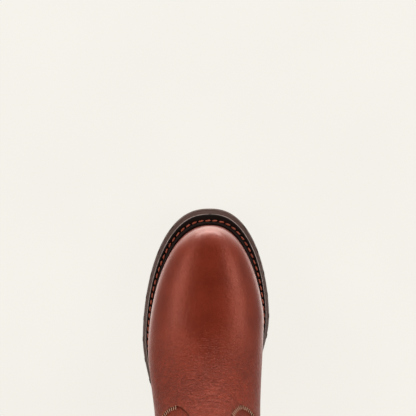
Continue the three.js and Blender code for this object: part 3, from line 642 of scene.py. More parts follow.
def rubber_group():
    """Tone, gloss and height of moulded rubber: fine speckle, soft clouds and a few scuffs."""
    tree, _, made = new_group("moulded_rubber")
    place = object_place(tree)
    cloud, fine = noise(tree, place, 55.0, 5.0), noise(tree, place, 1500.0, 3.0)
    scuff = spread(tree, noise(tree, object_place(tree, (60, 60, 500)), 1.0, 4.0), 0.58, 0.75)
    tone = plus(tree, scuff, 0.3, plus(tree, fine, 0.45, times(tree, cloud, 0.6)))
    gloss = plus(tree, cloud, 0.6, times(tree, fine, 0.4))
    return give(tree, made, tone, gloss, plus(tree, cloud, 0.3, fine))


def surface(name, coat=0.0, specular=0.5):
    """A material with its shader, whose constant sockets are set here."""
    material = bpy.data.materials.new(name)
    material.use_nodes = True
    tree = material.node_tree
    shader = tree.nodes["Principled BSDF"]
    shader.inputs["Coat Weight"].default_value = coat
    shader.inputs["Coat Roughness"].default_value = COAT_ROUGH
    shader.inputs["Specular IOR Level"].default_value = specular
    return material, tree, shader


def bump(tree, shader, height, deep):
    made = node(tree, "Bump", {"Height": height, "Distance": deep * MM})
    tree.links.new(made.outputs[0], shader.inputs["Normal"])


def attribute(tree, name):
    return node(tree, "Attribute", attribute_name=name).outputs["Fac"]


def dress(tree, shader, skin, colours, tones, wear_and_highlight_spread, rough, relief):
    """Leads a group to the shader: from the deep to the body colour by its tone, so that on leather the deep
    colour also lies in the creases and pebble valleys as painted shade; to the edge colour where the edge
    mask is set, which on leather is wear at cut and rubbed edges with a painted highlight along the vamp's
    raised edge, and on the soles a painted highlight along the top edges of their sides; its gloss and its
    height. Gives back the roughness."""
    body, deep, worn = colours
    tone, gloss, height = skin.outputs
    base = blend(tree, spread(tree, tone, *tones), deep, body)
    # Edge mask: real wear on leather edges, and a painted highlight on the vamp's raised edge and on the
    # soles' top edges
    wear_and_highlight_share = times(tree, attribute(tree, "wear"), spread(tree, gloss, *wear_and_highlight_spread))
    tree.links.new(blend(tree, wear_and_highlight_share, base, worn), shader.inputs["Base Color"])
    dull = spread(tree, gloss, 0.3, 0.7, *rough)
    tree.links.new(dull, shader.inputs["Roughness"])
    bump(tree, shader, height, relief)
    return dull


def leather(name, *colours, pebble=1.0, rough=(0.34, 0.42), coat=1.0, relief=0.56):
    """Pull-up leather, whose coat lies on the toe only and which is duller where it is pebbled."""
    material, tree, shader = surface(name, coat, LEATHER_SPECULAR)
    shader.inputs["Specular Tint"].default_value = LEATHER_TINT
    skin = node(tree, "Group", node_tree=bpy.data.node_groups.get("leather_skin") or leather_group())
    skin.inputs["Pebble"].default_value = pebble
    grain = attribute(tree, "grain")
    tree.links.new(grain, skin.inputs["Grain"])
    if coat:
        ahead = node(tree, "SeparateXYZ", {0: object_place(tree)}).outputs[1]
        tree.links.new(spread(tree, ahead, *COAT_FROM, 0.0, coat), shader.inputs["Coat Weight"])
    dull = dress(tree, shader, skin, colours, (0.2, 0.75), (0.3, 0.62), rough, relief)
    tree.links.new(plus(tree, grain, GRAIN_DULL, dull), shader.inputs["Roughness"])
    return material


def rubber(name, *colours, rough=(0.5, 0.75), relief=0.12):
    material, tree, shader = surface(name, 0.0, RUBBER_SPECULAR)
    moulded = node(tree, "Group", node_tree=bpy.data.node_groups.get("moulded_rubber") or rubber_group())
    # On the soles the edge colour is a painted highlight along the top edges of their sides
    dress(tree, shader, moulded, colours, (0.3, 0.85), (0.25, 0.55), rough, relief)
    return material


def thread(name, body, dark):
    """Waxed thread: twisted strands as a fine slanting wave, darker in the grooves between the strands as
    painted shade.
    """
    material, tree, shader = surface(name, 0.1)
    place = object_place(tree, turn=(0.5, 0.4, 0.8))
    twist = node(tree, "TexWave", {"Vector": place, "Scale": 420.0, "Distortion": 1.5}).outputs["Fac"]
    fuzz = noise(tree, place, 900.0, 3.0)
    # Painted shade: the wave that raises the strands also lightens them, so the grooves between them are
    # darker
    tone = plus(tree, twist, 0.5, times(tree, fuzz, 0.6))
    tree.links.new(blend(tree, tone, dark, body), shader.inputs["Base Color"])
    tree.links.new(spread(tree, fuzz, 0.3, 0.7, 0.45, 0.7), shader.inputs["Roughness"])
    bump(tree, shader, twist, 0.12)
    return material


def finish_of(kind):
    """The boot's finishes, each made the first time it is asked for."""
    c = bpy.context.scene.boot_colours
    worn, soft = shade(c.leather_worn), dict(pebble=0.5, coat=0, relief=0.2)
    pair = lambda body, dark: (shade(body), shade(body, dark))
    red = lambda share: (shade(c.leather, share), shade(c.leather_deep, share), worn)
    makers = {
        "red_leather": lambda n: leather(n, *red(1.0)),
        "binding_leather": lambda n: leather(n, *red(0.8), pebble=1.3, relief=0.3),
        "lining_leather": lambda n: leather(n, *pair(c.lining, 0.6), worn, rough=(0.6, 0.8), **soft),
        "footbed_leather": lambda n: leather(n, *pair(c.footbed, 0.6), worn, rough=(0.55, 0.75), **soft),
        # The sole's third colour is the painted highlight along the top edges of its sides
        "sole_rubber": lambda n: rubber(n, *pair(c.rubber, 0.55), shade(c.rubber_worn)),
        "welt_rubber": lambda n: rubber(n, *pair(c.welt, 0.5), shade(c.rubber), rough=(0.5, 0.7), relief=0.1),
        "sole_thread": lambda n: thread(n, *pair(c.thread, 0.45)),
        "upper_thread": lambda n: thread(n, *pair(c.thread_fine, 0.45)),
        "mark_thread": lambda n: thread(n, *pair(c.thread_mark, 0.45)),
    }
    return bpy.data.materials.get(kind) or makers[kind](kind)


def boot():
    return Last(bpy.context.scene.boot_sizes)


def toe_rows(count):
    """Places of rows over the first section of the last, crowded at the toe's tip."""
    return (np.arange(count) / count) ** 1.8


class BOOT_OT_upper(Operator):
    """Shaft and foot of the upper: the last's surface from the toe's pole to the collar, round the
    share of each section above the sole, moved out by its creases and thickened inwards"""

    bl_idname = "boot.upper"
    bl_label = "Upper"

    def execute(self, context):
        last = boot()
        s = np.linspace(-1, 1, 169)
        near = np.concatenate([toe_rows(18), np.linspace(1, FOOT_END, 84)])
        feet = {side: last.foot(near, side, 0.0, last.seat_gap) for side in (1, -1)}
        u = np.where(s >= 0, s * feet[1][:, None], s * feet[-1][:, None])
        p = np.repeat(near[:, None], len(s), 1)
        top = last.at_height(s, 0.0, last.collar)
        share = np.linspace(0, 1, 56)[1:, None]
        p = np.concatenate([p, mix(FOOT_END, top[None], share)])
        u = np.concatenate([u, np.repeat(s[None], len(share), 0)])
        shell = last.out(p, u, last.creases(p, u))
        piece = build(
            "upper_shell", shell, grid(*p.shape),
            [finish_of("red_leather"), finish_of("lining_leather")], grain=last.grain(p), wear=0.0,
        )
        thicken(piece, last.wall, 1)
        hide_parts("upper")
        return {"FINISHED"}


def vamp_line(last, u, past, out):
    """A line that runs some mm past the vamp's edge: its points and its normals."""
    p = VAMP_EDGE(np.abs(u))
    along, around = last.slopes(p, u)
    step = 1e-3
    rate = (VAMP_EDGE(np.abs(u) + step) - VAMP_EDGE(np.abs(np.abs(u) - step))) / (2 * step) * np.sign(u)
    normal = unit(np.cross(along, around))
    tangent = unit(around + along * rate[:, None])
    points = last.point(p, u) + normal * (out + last.creases(p, u))[:, None]
    return points + np.cross(tangent, normal) * past, normal


class BOOT_OT_vamp(Operator):
    """Vamp: the last's surface moved out by a layer, its rows blended from a section's line to the
    vamp's edge, curved down there as a quarter circle, with threads hung over its scoops"""

    bl_idname = "boot.vamp"
    bl_label = "Vamp"

    def execute(self, context):
        last = boot()
        rest = 45
        s = np.linspace(-1, 1, 261)
        rows = np.concatenate([toe_rows(20), np.linspace(1, VAMP_ROUND, 60)])
        fine = np.linspace(0, 10, 600)
        feet = {side: last.foot(fine, side, last.overlay, last.seat_gap) for side in (1, -1)}
        foot = lambda p: np.where(s >= 0, np.interp(p, fine, feet[1]), np.interp(p, fine, feet[-1]))
        p = np.repeat(rows[:, None], len(s), 1)
        share = (1 - (1 - np.linspace(0, 1, rest + 1)[1:]) ** 1.6)[:, None]
        p = np.concatenate([p, np.full((rest, len(s)), VAMP_ROUND)])
        u = s * foot(p)
        for _ in range(8):
            p[-rest:] = mix(VAMP_ROUND, VAMP_EDGE(np.abs(u[-rest:])), share)
            u = s * foot(p)
        along, around = last.slopes(p, u)
        rate = (VAMP_EDGE(np.abs(u) + 1e-3) - VAMP_EDGE(np.maximum(0, np.abs(u) - 1e-3))) / 2e-3
        steep = (1 / np.linalg.norm(along, axis=-1)) ** 2 + (rate / np.linalg.norm(around, axis=-1)) ** 2
        inside = (VAMP_EDGE(np.abs(u)) - p) / np.sqrt(steep)
        out = last.clearance + last.overlay - rolled(inside) + last.creases(p, u)
        # A pale band along the vamp's cut edge: worn edge colour and a painted highlight on its rolled,
        # raised edge
        wear = 0.3 * np.exp(-((inside / 0.6) ** 2))
        piece = build(
            "vamp_skin", last.out(p, u, out), grid(*p.shape), [finish_of("red_leather")],
            grain=last.grain(p), wear=wear,
        )
        thicken(piece, last.overlay - SKIN_THIN)
        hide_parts("vamp")
        skin = last.clearance + last.overlay
        marks = []
        for start, stop in WHIP_ARCS:
            u = np.linspace(start, stop, 900)
            points, normal = vamp_line(last, u, WHIP_PAST, skin - 0.05)
            points, normal = resample(points, WHIP_PITCH, normal)
            marks.append((points, np.cross(unit(np.gradient(points, axis=0)), normal), normal))
        over_edge = lambda a: (last.overlay - 0.8) * (1 - ((1 - a) / 2) ** 2)
        threads("vamp_whipping", marks, *WHIP_THREAD, over_edge, finish_of("mark_thread"), blunt=3)
        return {"FINISHED"}


class BOOT_OT_counter(Operator):
    """Heel counter: the last's surface moved out by a layer, blended evenly from the sole or the
    vamp's edge up to its own top edge, with two rows of stitching at a set distance under it"""

    bl_idname = "boot.counter"
    bl_label = "Counter"

    def execute(self, context):
        last = boot()
        skin = last.clearance + last.overlay
        fine = np.linspace(6, 9.8, 400)
        half = 1 - (1 - np.linspace(0, 1, 80)) ** 1.35
        v = mix(1.0, COUNTER_FROM, half[::-1])
        around = np.concatenate([v, 2 - v[-2::-1]])
        v = np.minimum(around, 2 - around)
        low = np.zeros_like(v)
        for side, mask in ((1, around <= 1), (-1, around > 1)):
            foot = last.foot(fine, side, last.overlay, last.seat_gap)
            low[mask] = np.interp(np.minimum(v[mask], COUNTER_FLAT), np.maximum.accumulate(foot), fine)
        low = np.maximum(low, VAMP_EDGE(v) + COUNTER_GAP)
        p = mix(low[None], COUNTER_EDGE(v)[None], np.linspace(0, 1, 60)[:, None])
        u = np.repeat(around[None], len(p), 0)
        along, turning = last.slopes(p, u)
        from_top = (COUNTER_EDGE(v)[None] - p) * np.linalg.norm(along, axis=-1)
        from_end = (v[None] - COUNTER_FROM) * np.linalg.norm(turning, axis=-1)
        inside = np.minimum(from_top, from_end + 0.2)
        out = skin - rolled(inside) + last.creases(p, u)
        piece = build(
            "counter_skin", last.out(p, u, out), grid(*p.shape), [finish_of("red_leather")],
            grain=0.5 * last.grain(p), wear=np.exp(-((inside / 0.9) ** 2)),
        )
        thicken(piece, last.overlay - SKIN_THIN)
        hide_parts("counter")
        runs = []
        for drop in COUNTER_ROWS:
            turn = np.linspace(COUNTER_FROM + 0.015, 2 - COUNTER_FROM - 0.015, 700)
            v = np.minimum(turn, 2 - turn)
            along, _ = last.slopes(COUNTER_EDGE(v), turn)
            p = COUNTER_EDGE(v) - drop / np.linalg.norm(along, axis=-1)
            runs.append(seam_run(last, p, turn, skin + 0.1))
        stitches("counter_stitches", runs, "upper_thread", wide=0.62)
        return {"FINISHED"}


class BOOT_OT_side_seams(Operator):
    """Leather strips over the shaft's side seams: a band of even width on the last's surface,
    moved out by a layer that falls to its sides with the fifth power of the distance"""

    bl_idname = "boot.side_seams"
    bl_label = "Side seams"

    def execute(self, context):
        last = boot()
        middle = float(last.point(END - 0.5, 0.5)[1])
        runs = []
        for sign, name in ((1, "side_seam_inner"), (-1, "side_seam_outer")):
            u = np.linspace(0.53, 0.8, 60) * sign
            edge = last.point(COUNTER_EDGE(np.abs(u)), u)
            start = float(np.interp(-middle, -edge[:, 1], edge[:, 2])) + last.overlay
            stop = float(last.collar(middle)) - last.binding_height - last.clearance
            z = np.linspace(start, stop, 110)[:, None]
            across = np.linspace(-1, 1, 15)[None]
            p, u = last.side(sign, middle + across * last.seam_strip / 2, z)
            lift = last.overlay * (1 - 0.75 * np.abs(across) ** 5) + 0.35 * (1 - across**2)
            rim = np.clip((z - start) / 1.2, 0, 1)
            lift = lift * (0.45 + 0.55 * np.sqrt(1 - (1 - rim) ** 2))
            out = last.clearance + lift - 0.35 + last.creases(p, u)
            order = grid(*p.shape)
            piece = build(
                name + "_strip", last.out(p, u, out), order if sign < 0 else order[:, ::-1],
                [finish_of("red_leather")], grain=0.5, wear=0.7 * np.abs(across) ** 8 + 0 * z,
            )
            thicken(piece, 1.2)
            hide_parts(name)
            for shift in (-SEAM_ROWS, SEAM_ROWS):
                z = np.linspace(start + 3, stop - 1, 300)
                p, u = last.side(sign, middle + shift * last.seam_strip / 2, z)
                runs.append(seam_run(last, p, u, last.clearance + last.overlay - 0.25))
        stitches("side_seam_stitches", runs, "upper_thread")
        return {"FINISHED"}


class BOOT_OT_collar_binding(Operator):
    """Leather folded over the collar's edge: a profile of two straight legs and a half ellipse,
    carried round the collar's line on the last and puckered by a sine at its stitches"""

    bl_idname = "boot.collar_binding"
    bl_label = "Collar binding"

    def execute(self, context):
        last = boot()
        near, far, deep = last.clearance, last.clearance + last.binding, last.binding_height
        middle, round_ = -last.wall / 2, last.wall / 2 + far
        turn = np.linspace(0, math.pi, 15)
        arch = np.stack([middle + round_ * np.cos(turn), 0.85 * far * np.sin(turn)], -1)
        outer = np.stack([np.full(12, far), np.linspace(-deep + 0.5, -0.4, 12)], -1)
        inner = np.stack([np.full(8, -last.wall - far), np.linspace(-0.4, -deep + 0.4, 8)], -1)
        foot = [(near, -deep), (near + 0.5 * last.binding, -deep), (far - 0.12, -deep + 0.15)]
        lining = -last.wall - near
        back = [(-last.wall - far + 0.3, -deep), (lining, -deep), (lining, near), (near, near)]
        profile = np.concatenate([foot, outer, arch, inner, back])
        u = np.linspace(-1, 1, 220, endpoint=False)[:, None]
        out, up = profile[:, 0][None], profile[:, 1][None]
        u2, out2, up2 = np.broadcast_arrays(u, out, up)
        pucker = 0.12 * np.sin(u2 * math.pi * 74) * np.exp(-(((up2 + 6) / 2.2) ** 2)) * (out2 > 0)
        p = last.at_height(u2, out2, lambda y: last.collar(y) + up2)
        points = last.out(p, u2, out2 + pucker)
        piece = build(
            "collar_binding_fold", points, grid(*p.shape, wrap=True, loop=True),
            [finish_of("binding_leather")], closed=True, grain=0.6,
            wear=0.5 * np.exp(-((up2 - 1.2) ** 2)),
        )
        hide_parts("collar_binding")
        turn = np.linspace(-1, 1, 1200)
        p = last.at_height(turn, far, lambda y: last.collar(y) - COLLAR_ROW)
        points = last.out(p, turn, far + 0.08)
        run = resample(points, last.fine_stitch, last.normal(p, turn))
        stitches("collar_stitches", [run], "upper_thread")
        return {"FINISHED"}


class BOOT_OT_pull_straps(Operator):
    """Pull straps: a flat superellipse carried up the shaft's side, over a bulging half ellipse
    above the collar and down inside it"""

    bl_idname = "boot.pull_straps"
    bl_label = "Pull straps"

    def execute(self, context):
        last = boot()
        centre = float(last.point(END - 0.5, 0.5)[1])
        clear = last.wall / 2 + 2 * last.clearance + max(last.binding, last.overlay) + last.strap_thick / 2
        turn = np.linspace(0, math.pi, 44)
        down, up = np.linspace(-last.strap_leg, 0, 22)[:-1], np.linspace(0, -0.6 * last.strap_leg, 16)[1:]
        bulge = np.cos(turn) * (clear + last.strap_bulge * np.sin(turn))
        out = np.concatenate([np.full(21, clear), bulge, np.full(15, -clear)])
        path = np.stack([out, np.concatenate([down, last.strap_loop * np.sin(turn), up])], -1)
        along = unit(np.gradient(path, axis=0))
        b = np.linspace(0, 2 * math.pi, 40, endpoint=False)
        wide = np.sign(np.cos(b)) * np.abs(np.cos(b)) ** 0.28
        thick = np.sign(np.sin(b)) * np.abs(np.sin(b)) ** 0.7
        ends = np.minimum(np.arange(len(path)), np.arange(len(path))[::-1])
        full = np.sqrt(1 - (1 - np.clip(ends / 2, 0, 1)) ** 2)
        runs = []
        for sign, name in ((1, "pull_strap_inner"), (-1, "pull_strap_outer")):

            def place(shift, out, up):
                y = centre + shift
                p, u = last.side(sign, y, last.collar_height + np.minimum(0, up))
                x = last.point(p, u)[..., 0] + sign * (-last.wall / 2 + out)
                return np.stack([x, y, last.collar_height + up], -1)

            half = thick[None] * last.strap_thick / 2 * full[:, None] * (1 - 0.12 * np.abs(wide[None]) ** 6)
            shift = wide[None] * (last.strap_width / 2 - 0.3 * (1 - full[:, None]))
            out = path[:, :1] + half * along[:, 1:]
            up = path[:, 1:] - half * along[:, :1]
            points = place(shift + 0 * out, out, up)
            piece = build(
                name + "_loop", points, grid(len(path), 40, wrap=True), [finish_of("red_leather")],
                closed=True, grain=0.6, wear=0.3 * np.abs(wide[None]) ** 12 + 0 * out,
            )
            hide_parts(name)
            foot, half = -last.strap_leg + 2.4, last.strap_width / 2 - 2.2
            leg, cross = np.linspace(foot, -4, 160), np.linspace(-1, 1, 80) * half
            lines = [(np.full_like(leg, edge * half), leg) for edge in (-1, 1)]
            lines += [(cross, np.full_like(cross, level)) for level in (foot, -10.0)]
            for shift, level in lines:
                points = place(shift, clear + last.strap_thick / 2 + 0.02 + 0 * level, level)
                runs.append(resample(points, last.fine_stitch, np.tile([sign * 1.0, 0, 0], (len(level), 1))))
        stitches("strap_stitches", runs, "upper_thread")
        return {"FINISHED"}


class BOOT_OT_footbed(Operator):
    """Footbed: straight lines across between the feet of the upper's inner surface, sunk in the
    middle by one less the power 2.5 of the share across, and more so under the heel"""

    bl_idname = "boot.footbed"
    bl_label = "Footbed"

    def execute(self, context):
        last = boot()
        lift = last.seat_gap + last.insole_thick
        inwards = -last.wall - last.clearance
        p = np.concatenate([np.linspace(0.12, 1, 22)[:-1], np.linspace(1, 9.42, 130)])
        ends = {}
        for side in (1, -1):
            u = last.foot(p, side, inwards, lift)
            ends[side] = last.out(p, side * u, inwards)
        t = np.linspace(-1, 1, 61)[None, :, None]
        x = mix(ends[-1][:, None], ends[1][:, None], (t + 1) / 2)
        y = x[..., 1]
        bowl = (1 - np.abs(t[..., 0]) ** 2.5) * (0.5 + 0.9 * smooth(-60, -110, y))
        x[..., 2] = last.sole_top(y) + lift - bowl
        keep = np.concatenate([[True], np.diff(ends[1][:, 1]) < -0.05])
        x = x[keep]
        finish = [finish_of("footbed_leather")]
        piece = build("footbed_sheet", x, grid(*x.shape[:2])[:, ::-1], finish, grain=0.4, wear=0.0)
        thicken(piece, last.insole_thick - 1.6)
        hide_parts("insole")
        return {"FINISHED"}


def outline(last, low, count):
    """The outsole's edge from the heel or breast on the inner side round the toe and back: its
    points in plan and its outward normals. Stations crowd at both ends as a cosine does."""
    start = last.at_of(low)
    share = start + (1 - start) * (np.sin(np.linspace(0, math.pi / 2, count)))
    if low <= last.y_of(0):
        share = 0.5 - 0.5 * np.cos(np.linspace(0, math.pi, count))
    sides = [np.stack([last.spine + side * last.edge(side, share), last.y_of(share)], -1) for side in (1, -1)]
    line = np.concatenate([sides[0], sides[1][-2::-1]])
    along = unit(np.gradient(line, axis=0))
    return line, np.stack([along[:, 1], -along[:, 0]], -1)


def upper_inset(last, line, normal, lift, out):
    """How far inside the outsole's edge the upper's surface stands, along each inward normal."""
    p = np.linspace(0.001, 9.3, 500)
    sides = []
    for side in (1, -1):
        sides.append(last.out(p, side * last.foot(p, side, out, lift), out)[:, :2])
    shape = np.concatenate([sides[0][::-1], sides[1][1:]])
    a, d = shape[None, :-1], (shape[1:] - shape[:-1])[None]
    o, n = line[:, None], -normal[:, None]
    cross = lambda v, w: v[..., 0] * w[..., 1] - v[..., 1] * w[..., 0]
    base = cross(n, d)
    base = np.where(np.abs(base) < 1e-9, 1e-9, base)
    far = cross(a - o, d) / base
    share = cross(a - o, n) / base
    hit = (share >= -1e-6) & (share <= 1 + 1e-6) & (far > -12) & (far < 40)
    return np.where(hit, far, 99).min(1)


class BOOT_OT_welt(Operator):
    """Welt: a profile carried along the outsole's outline, whose points are set in along its
    normal from the edge, the seam or the upper, with a stitched channel and a storm bead"""

    bl_idname = "boot.welt"
    bl_label = "Welt"

    def execute(self, context):
        last = boot()
        line, normal = outline(last, -62.0, 330)
        y = line[:, 1]
        at = last.at_of(y)
        edge = last.flare * FLARE_ALONG(at) + last.welt_inset
        seam = last.seam_inset * SEAM_ALONG(at)
        wall = upper_inset(last, line, normal, 5.0, last.clearance + last.overlay)
        wall = np.where(wall > 60, 14, wall)
        half, thick, rise = last.seam_width / 2, last.welt_thick, last.welt_thick + last.bead_rise
        profile = [
            ("edge", 0, 0.3), ("edge", 0, thick - 0.9), ("edge", 0.12, thick - 0.35),
            ("edge", 0.45, thick - 0.05), ("edge", 0.9, thick), ("seam", -half - 0.5, thick),
            ("seam", -half - 0.1, thick - 0.12), ("seam", -half * 0.6, thick - 0.6),
            ("seam", 0, thick - 0.75), ("seam", half * 0.6, thick - 0.6), ("seam", half + 0.1, thick - 0.1),
            ("seam", half + 0.35, thick + 0.5), ("seam", half + 0.8, rise - 0.55),
            ("seam", half + 1.4, rise - 0.12), ("seam", half + 2.1, rise), ("wall", -0.9, rise - 0.1),
            ("wall", -0.3, rise - 0.5), ("wall", 1.0, rise - 0.9), ("wall", 1.0, 0.3),
        ]
        base = {"edge": edge, "seam": seam, "wall": wall}
        inset = np.stack([base[kind] + more for kind, more, _ in profile], -1)
        inset = np.maximum.accumulate(inset, 1)
        limit = np.maximum(wall + 1.0, edge + 0.3)[:, None]
        inset = np.minimum(inset, limit + 0.06 * np.arange(len(profile)))
        height = np.array([level for _, _, level in profile])[None]
        xy = line[:, None] - normal[:, None] * inset[..., None]
        points = np.concatenate([xy, (last.sole_top(xy[..., 1]) + height)[..., None]], -1)
        cap_ends = points.mean(1, keepdims=True).repeat(len(profile), 1)
        points = np.concatenate([cap_ends[:1], points, cap_ends[-1:]])
        piece = build(
            "welt_ring", points, grid(*points.shape[:2], wrap=True), [finish_of("welt_rubber")],
            closed=True, sharp=50, wear=0.0,
        )
        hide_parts("welt")
        room = wall - seam
        keep = (y > -34) & (room > 1.6)
        xy = (line - normal * seam[:, None])[keep]
        points = np.concatenate([xy, (last.sole_top(xy[:, 1]) + thick + 0.12)[:, None]], -1)
        up = np.tile([0.0, 0, 1], (len(points), 1))
        run = resample(points, last.sole_stitch, up)
        stitches("welt_stitches", [run], "sole_thread", 4.9, 1.55, 0.13, 0.3, rings=9, around=8)
        return {"FINISHED"}


def block(name, last, rows_y, slope, table, flare, bottom, top, breast=None):
    """A sole as a closed loft. Each row is a ring in a plane across the boot: its bottom, its
    side, its top and its other side. slope shears the bottom's rows into chevrons, and each
    side's points are the outline moved in along its normal. rows_y holds (y at the spine, share
    of the slope), and table rows of (share of the flare, inset in mm, level up the side)."""
    y0, lean = rows_y
    tip = (y0 >= last.y_of(1) - 1e-6).astype(float) - (y0 <= last.y_of(0) + 1e-6)
    widths, columns = {}, []
    for side in (-1, 1):
        reach = lambda x: x - last.edge(side, last.at_of(y0 - slope * lean * x))
        half = halve(np.zeros_like(y0), np.full_like(y0, last.ball_width), reach, 30)
        widths[side] = np.where(tip != 0, 0, half)[:, None]
        near = BLOCK_COLUMNS[None] * np.minimum(1, widths[side] / BLOCK_NARROW)
        far = mix(near[:, -1:], widths[side], np.linspace(0, 1, 15)[None, 1:])
        columns.append(side * np.concatenate([near, far], 1))
    x = np.concatenate([columns[0][:, ::-1], columns[1][:, 1:]], 1)
    y = y0[:, None] - slope * lean[:, None] * np.abs(x)
    under = np.stack([last.spine + x, y, bottom(x, y, y0[:, None])], -1)
    rings, top_edge_highlight, foot, step = {}, {}, np.zeros_like(under), 1e-4
    for side, pick in ((1, -1), (-1, 0)):
        edge = under[:, pick, :2]
        share = last.at_of(edge[:, 1])
        width = lambda at: last.edge(side, np.clip(at, 1e-5, 1 - 1e-5))
        rate = (width(share + step) - width(share - step)) / (2 * step * last.length)
        normal = unit(np.stack([np.full_like(rate, side), -rate], -1))
        normal = np.where((tip != 0)[:, None], np.stack([0 * tip, tip], -1), normal)
        inset = table[None, :, 0] * flare(edge[:, 1:]) + table[None, :, 1]
        level = np.repeat(table[None, :, 2], len(y0), 0)
        share = np.clip(side * x / np.maximum(widths[side], 1e-6), 0, 1)
        foot[..., 0] -= normal[:, :1] * inset[:, :1] * share
        foot[..., 1] -= np.where(side * x > 0, 1.0, 0.5 * (x == 0)) * normal[:, 1:] * inset[:, :1]
        xy = edge[:, None] - normal[:, None] * inset[..., None]
        low = last.sole_bottom(xy[..., 1]) if breast is None else 0 * inset
        z = np.maximum(mix(low, top(xy[..., 1]), level), under[:, pick, 2:])
        rings[side] = np.concatenate([xy, z[..., None]], -1)[:, ::side]
        # Painted highlight: the top of each side takes the pale edge colour, standing in for light caught by
        # that edge
        top_edge_highlight[side] = smooth(0.975, 1, level)[:, ::side]
    lid = mix(rings[1][:, -1:], rings[-1][:, :1], np.linspace(0, 1, 14)[None, 1:-1, None])
    lid[..., 2] = top(lid[..., 1])
    ring = np.concatenate([(under + foot)[:, 1:-1], rings[1], lid, rings[-1]], 1)
    wear = np.concatenate([0 * x[:, 1:-1], top_edge_highlight[1], 0 * lid[..., 0], top_edge_highlight[-1]], 1)
    if breast is not None:
        ring[..., 1] = np.minimum(ring[..., 1], breast(ring[..., 2]))
        middle = ring[-1:].mean(1, keepdims=True)
        front = np.concatenate([mix(ring[-1:], middle, share) for share in (0.3, 0.7, 1.0)])
        front[..., 1] = breast(front[..., 2])
        ring, wear = np.concatenate([ring, front]), np.concatenate([wear, 0 * wear[-3:]])
    faces = grid(*ring.shape[:2], wrap=True)
    return build(name, ring, faces, [finish_of("sole_rubber")], closed=True, merge=0.03, sharp=38, wear=wear)


def lug_rows(last, starts, rows, beyond=()):
    """The y of a tread's rows: the ones given, and those round the edges of its channels."""
    gap = last.lug_gap
    steps = np.array([-0.02, 0.55, gap / 2, gap - 0.55, gap + 0.02, *beyond])
    return np.unique(np.round(np.concatenate([rows, (starts[:, None] + steps).ravel()]), 3))


def channels(last, starts, row):
    """One where a row lies in a channel that starts at one of the places, nought elsewhere."""
    into = row[..., None] - starts
    return ((into > 0.3) & (into < last.lug_gap - 0.3)).any(-1).astype(float)


class BOOT_OT_outsole(Operator):
    """Lugged outsole: the block with sheared rows, its bottom raised in channels and grooves and
    its side flared by a table"""

    bl_idname = "boot.outsole"
    bl_label = "Outsole"

    def execute(self, context):
        last = boot()
        first, slope = last.y_of(0.53), 0.22
        starts = np.arange(first, last.y_of(1) - 10, last.lug_pitch)
        rows = [last.y_of(0), last.y_of(1), *(0.5 * last.length * np.cos(np.linspace(math.pi, 0, 150)))]
        y0 = lug_rows(last, starts, rows, (-0.7, last.lug_gap + 0.7))
        lean = smooth(last.y_of(0.42), last.y_of(0.5), y0) * (1 - smooth(last.y_of(0.975), last.y_of(1), y0))

        def bottom(x, y, row):
            groove = np.abs(np.abs(x) - GROOVE_AT) < GROOVE_HALF
            lines = groove & (row > first) & (row < last.y_of(1) - 12)
            into = np.maximum(channels(last, starts, row) * np.ones_like(x), lines)
            return last.sole_bottom(y) + last.lug_depth * into

        flare = lambda y: last.flare * FLARE_ALONG(last.at_of(y))
        piece = block("outsole_lugged", last, (y0, lean), slope, SOLE_SIDE, flare, bottom, last.sole_top)
        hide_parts("outsole")
        return {"FINISHED"}


class BOOT_OT_heel(Operator):
    """Heel: the block with straight rows, tapered and grooved at its side by a table, with
    channels in its foot, cut off at a slanting breast"""

    bl_idname = "boot.heel"
    bl_label = "Heel"

    def execute(self, context):
        last = boot()
        stop = last.y_of(0) + last.heel_length + 2
        starts = last.y_of(0) + last.lug_pitch * np.arange(1, 4)
        y0 = lug_rows(last, starts, mix(last.y_of(0), stop, 1 - np.cos(np.linspace(0, math.pi / 2, 80))))
        y0 = y0[y0 <= stop]
        bottom = lambda x, y, row: last.lug_depth * channels(last, starts, row) * np.ones_like(x)
        taper = lambda y: last.heel_taper + 0 * y
        top = lambda y: last.sole_bottom(y) - last.clearance
        high = float(last.sole_top(last.y_of(0))) - last.shank_thick
        front = last.y_of(0) + last.heel_length
        breast = lambda z: np.where(z < high, mix(front - BREAST_LEAN, front, (z + 1) / (high + 1)), front)
        piece = block("heel_block", last, (y0, 0 * y0), 0.0, HEEL_SIDE, taper, bottom, top, breast)
        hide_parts("heel")
        return {"FINISHED"}


# Stage, in metres and degrees: the camera's height, turn and roll, lamps (place, size, watts)
CAMERA_TARGET, CAMERA_AWAY, CAMERA_ANGLES = Vector((0.0025, 0.1537, 0.0)), 1.342, (86.9, -5.1, 0.31)
SENSOR, FOCAL_PIXELS, FRAME_PIXELS = 36, 1494.3, 416
FLOOR_LEVEL, FLOOR_GLOW = -0.0002, 0.965
# Painted glow for reflections: patches of the floor that shine brighter to mirrored rays only, in front of
# the toe and round the boot
GLOW_FRONT, GLOW_BESIDE = (0, 0.32, 0), (13, 5.8, 0)  # bright parts of the floor for mirrored rays
SKY_TOP, SKY_GLOW = (0.05, 0.045, 0.045, 1), 0.9
LAMP_TARGET, LAMP_COLOUR = (0, 0.06, 0.06), (1, 0.985, 0.965)
LAMPS = [
    ("front_lamp", (0.0, 0.95, 0.13), (1.1, 0.26), 8.5),
    ("left_lamp", (-0.85, 0.1, 0.68), (1.0, 0.32), 7.8),
    ("right_lamp", (0.85, 0.1, 0.68), (1.0, 0.32), 7.8),
    ("back_lamp", (0.0, -1.3, 0.9), (1.2, 0.5), 2.0),
]


def look_at(thing, target, up=(0, 0, 1)):
    """Turns a camera or lamp to face a point, with a direction upwards in its view."""
    back = (thing.location - Vector(target)).normalized()
    right = Vector(up).cross(back).normalized()
    thing.rotation_euler = Matrix([right, back.cross(right), back]).transposed().to_euler()


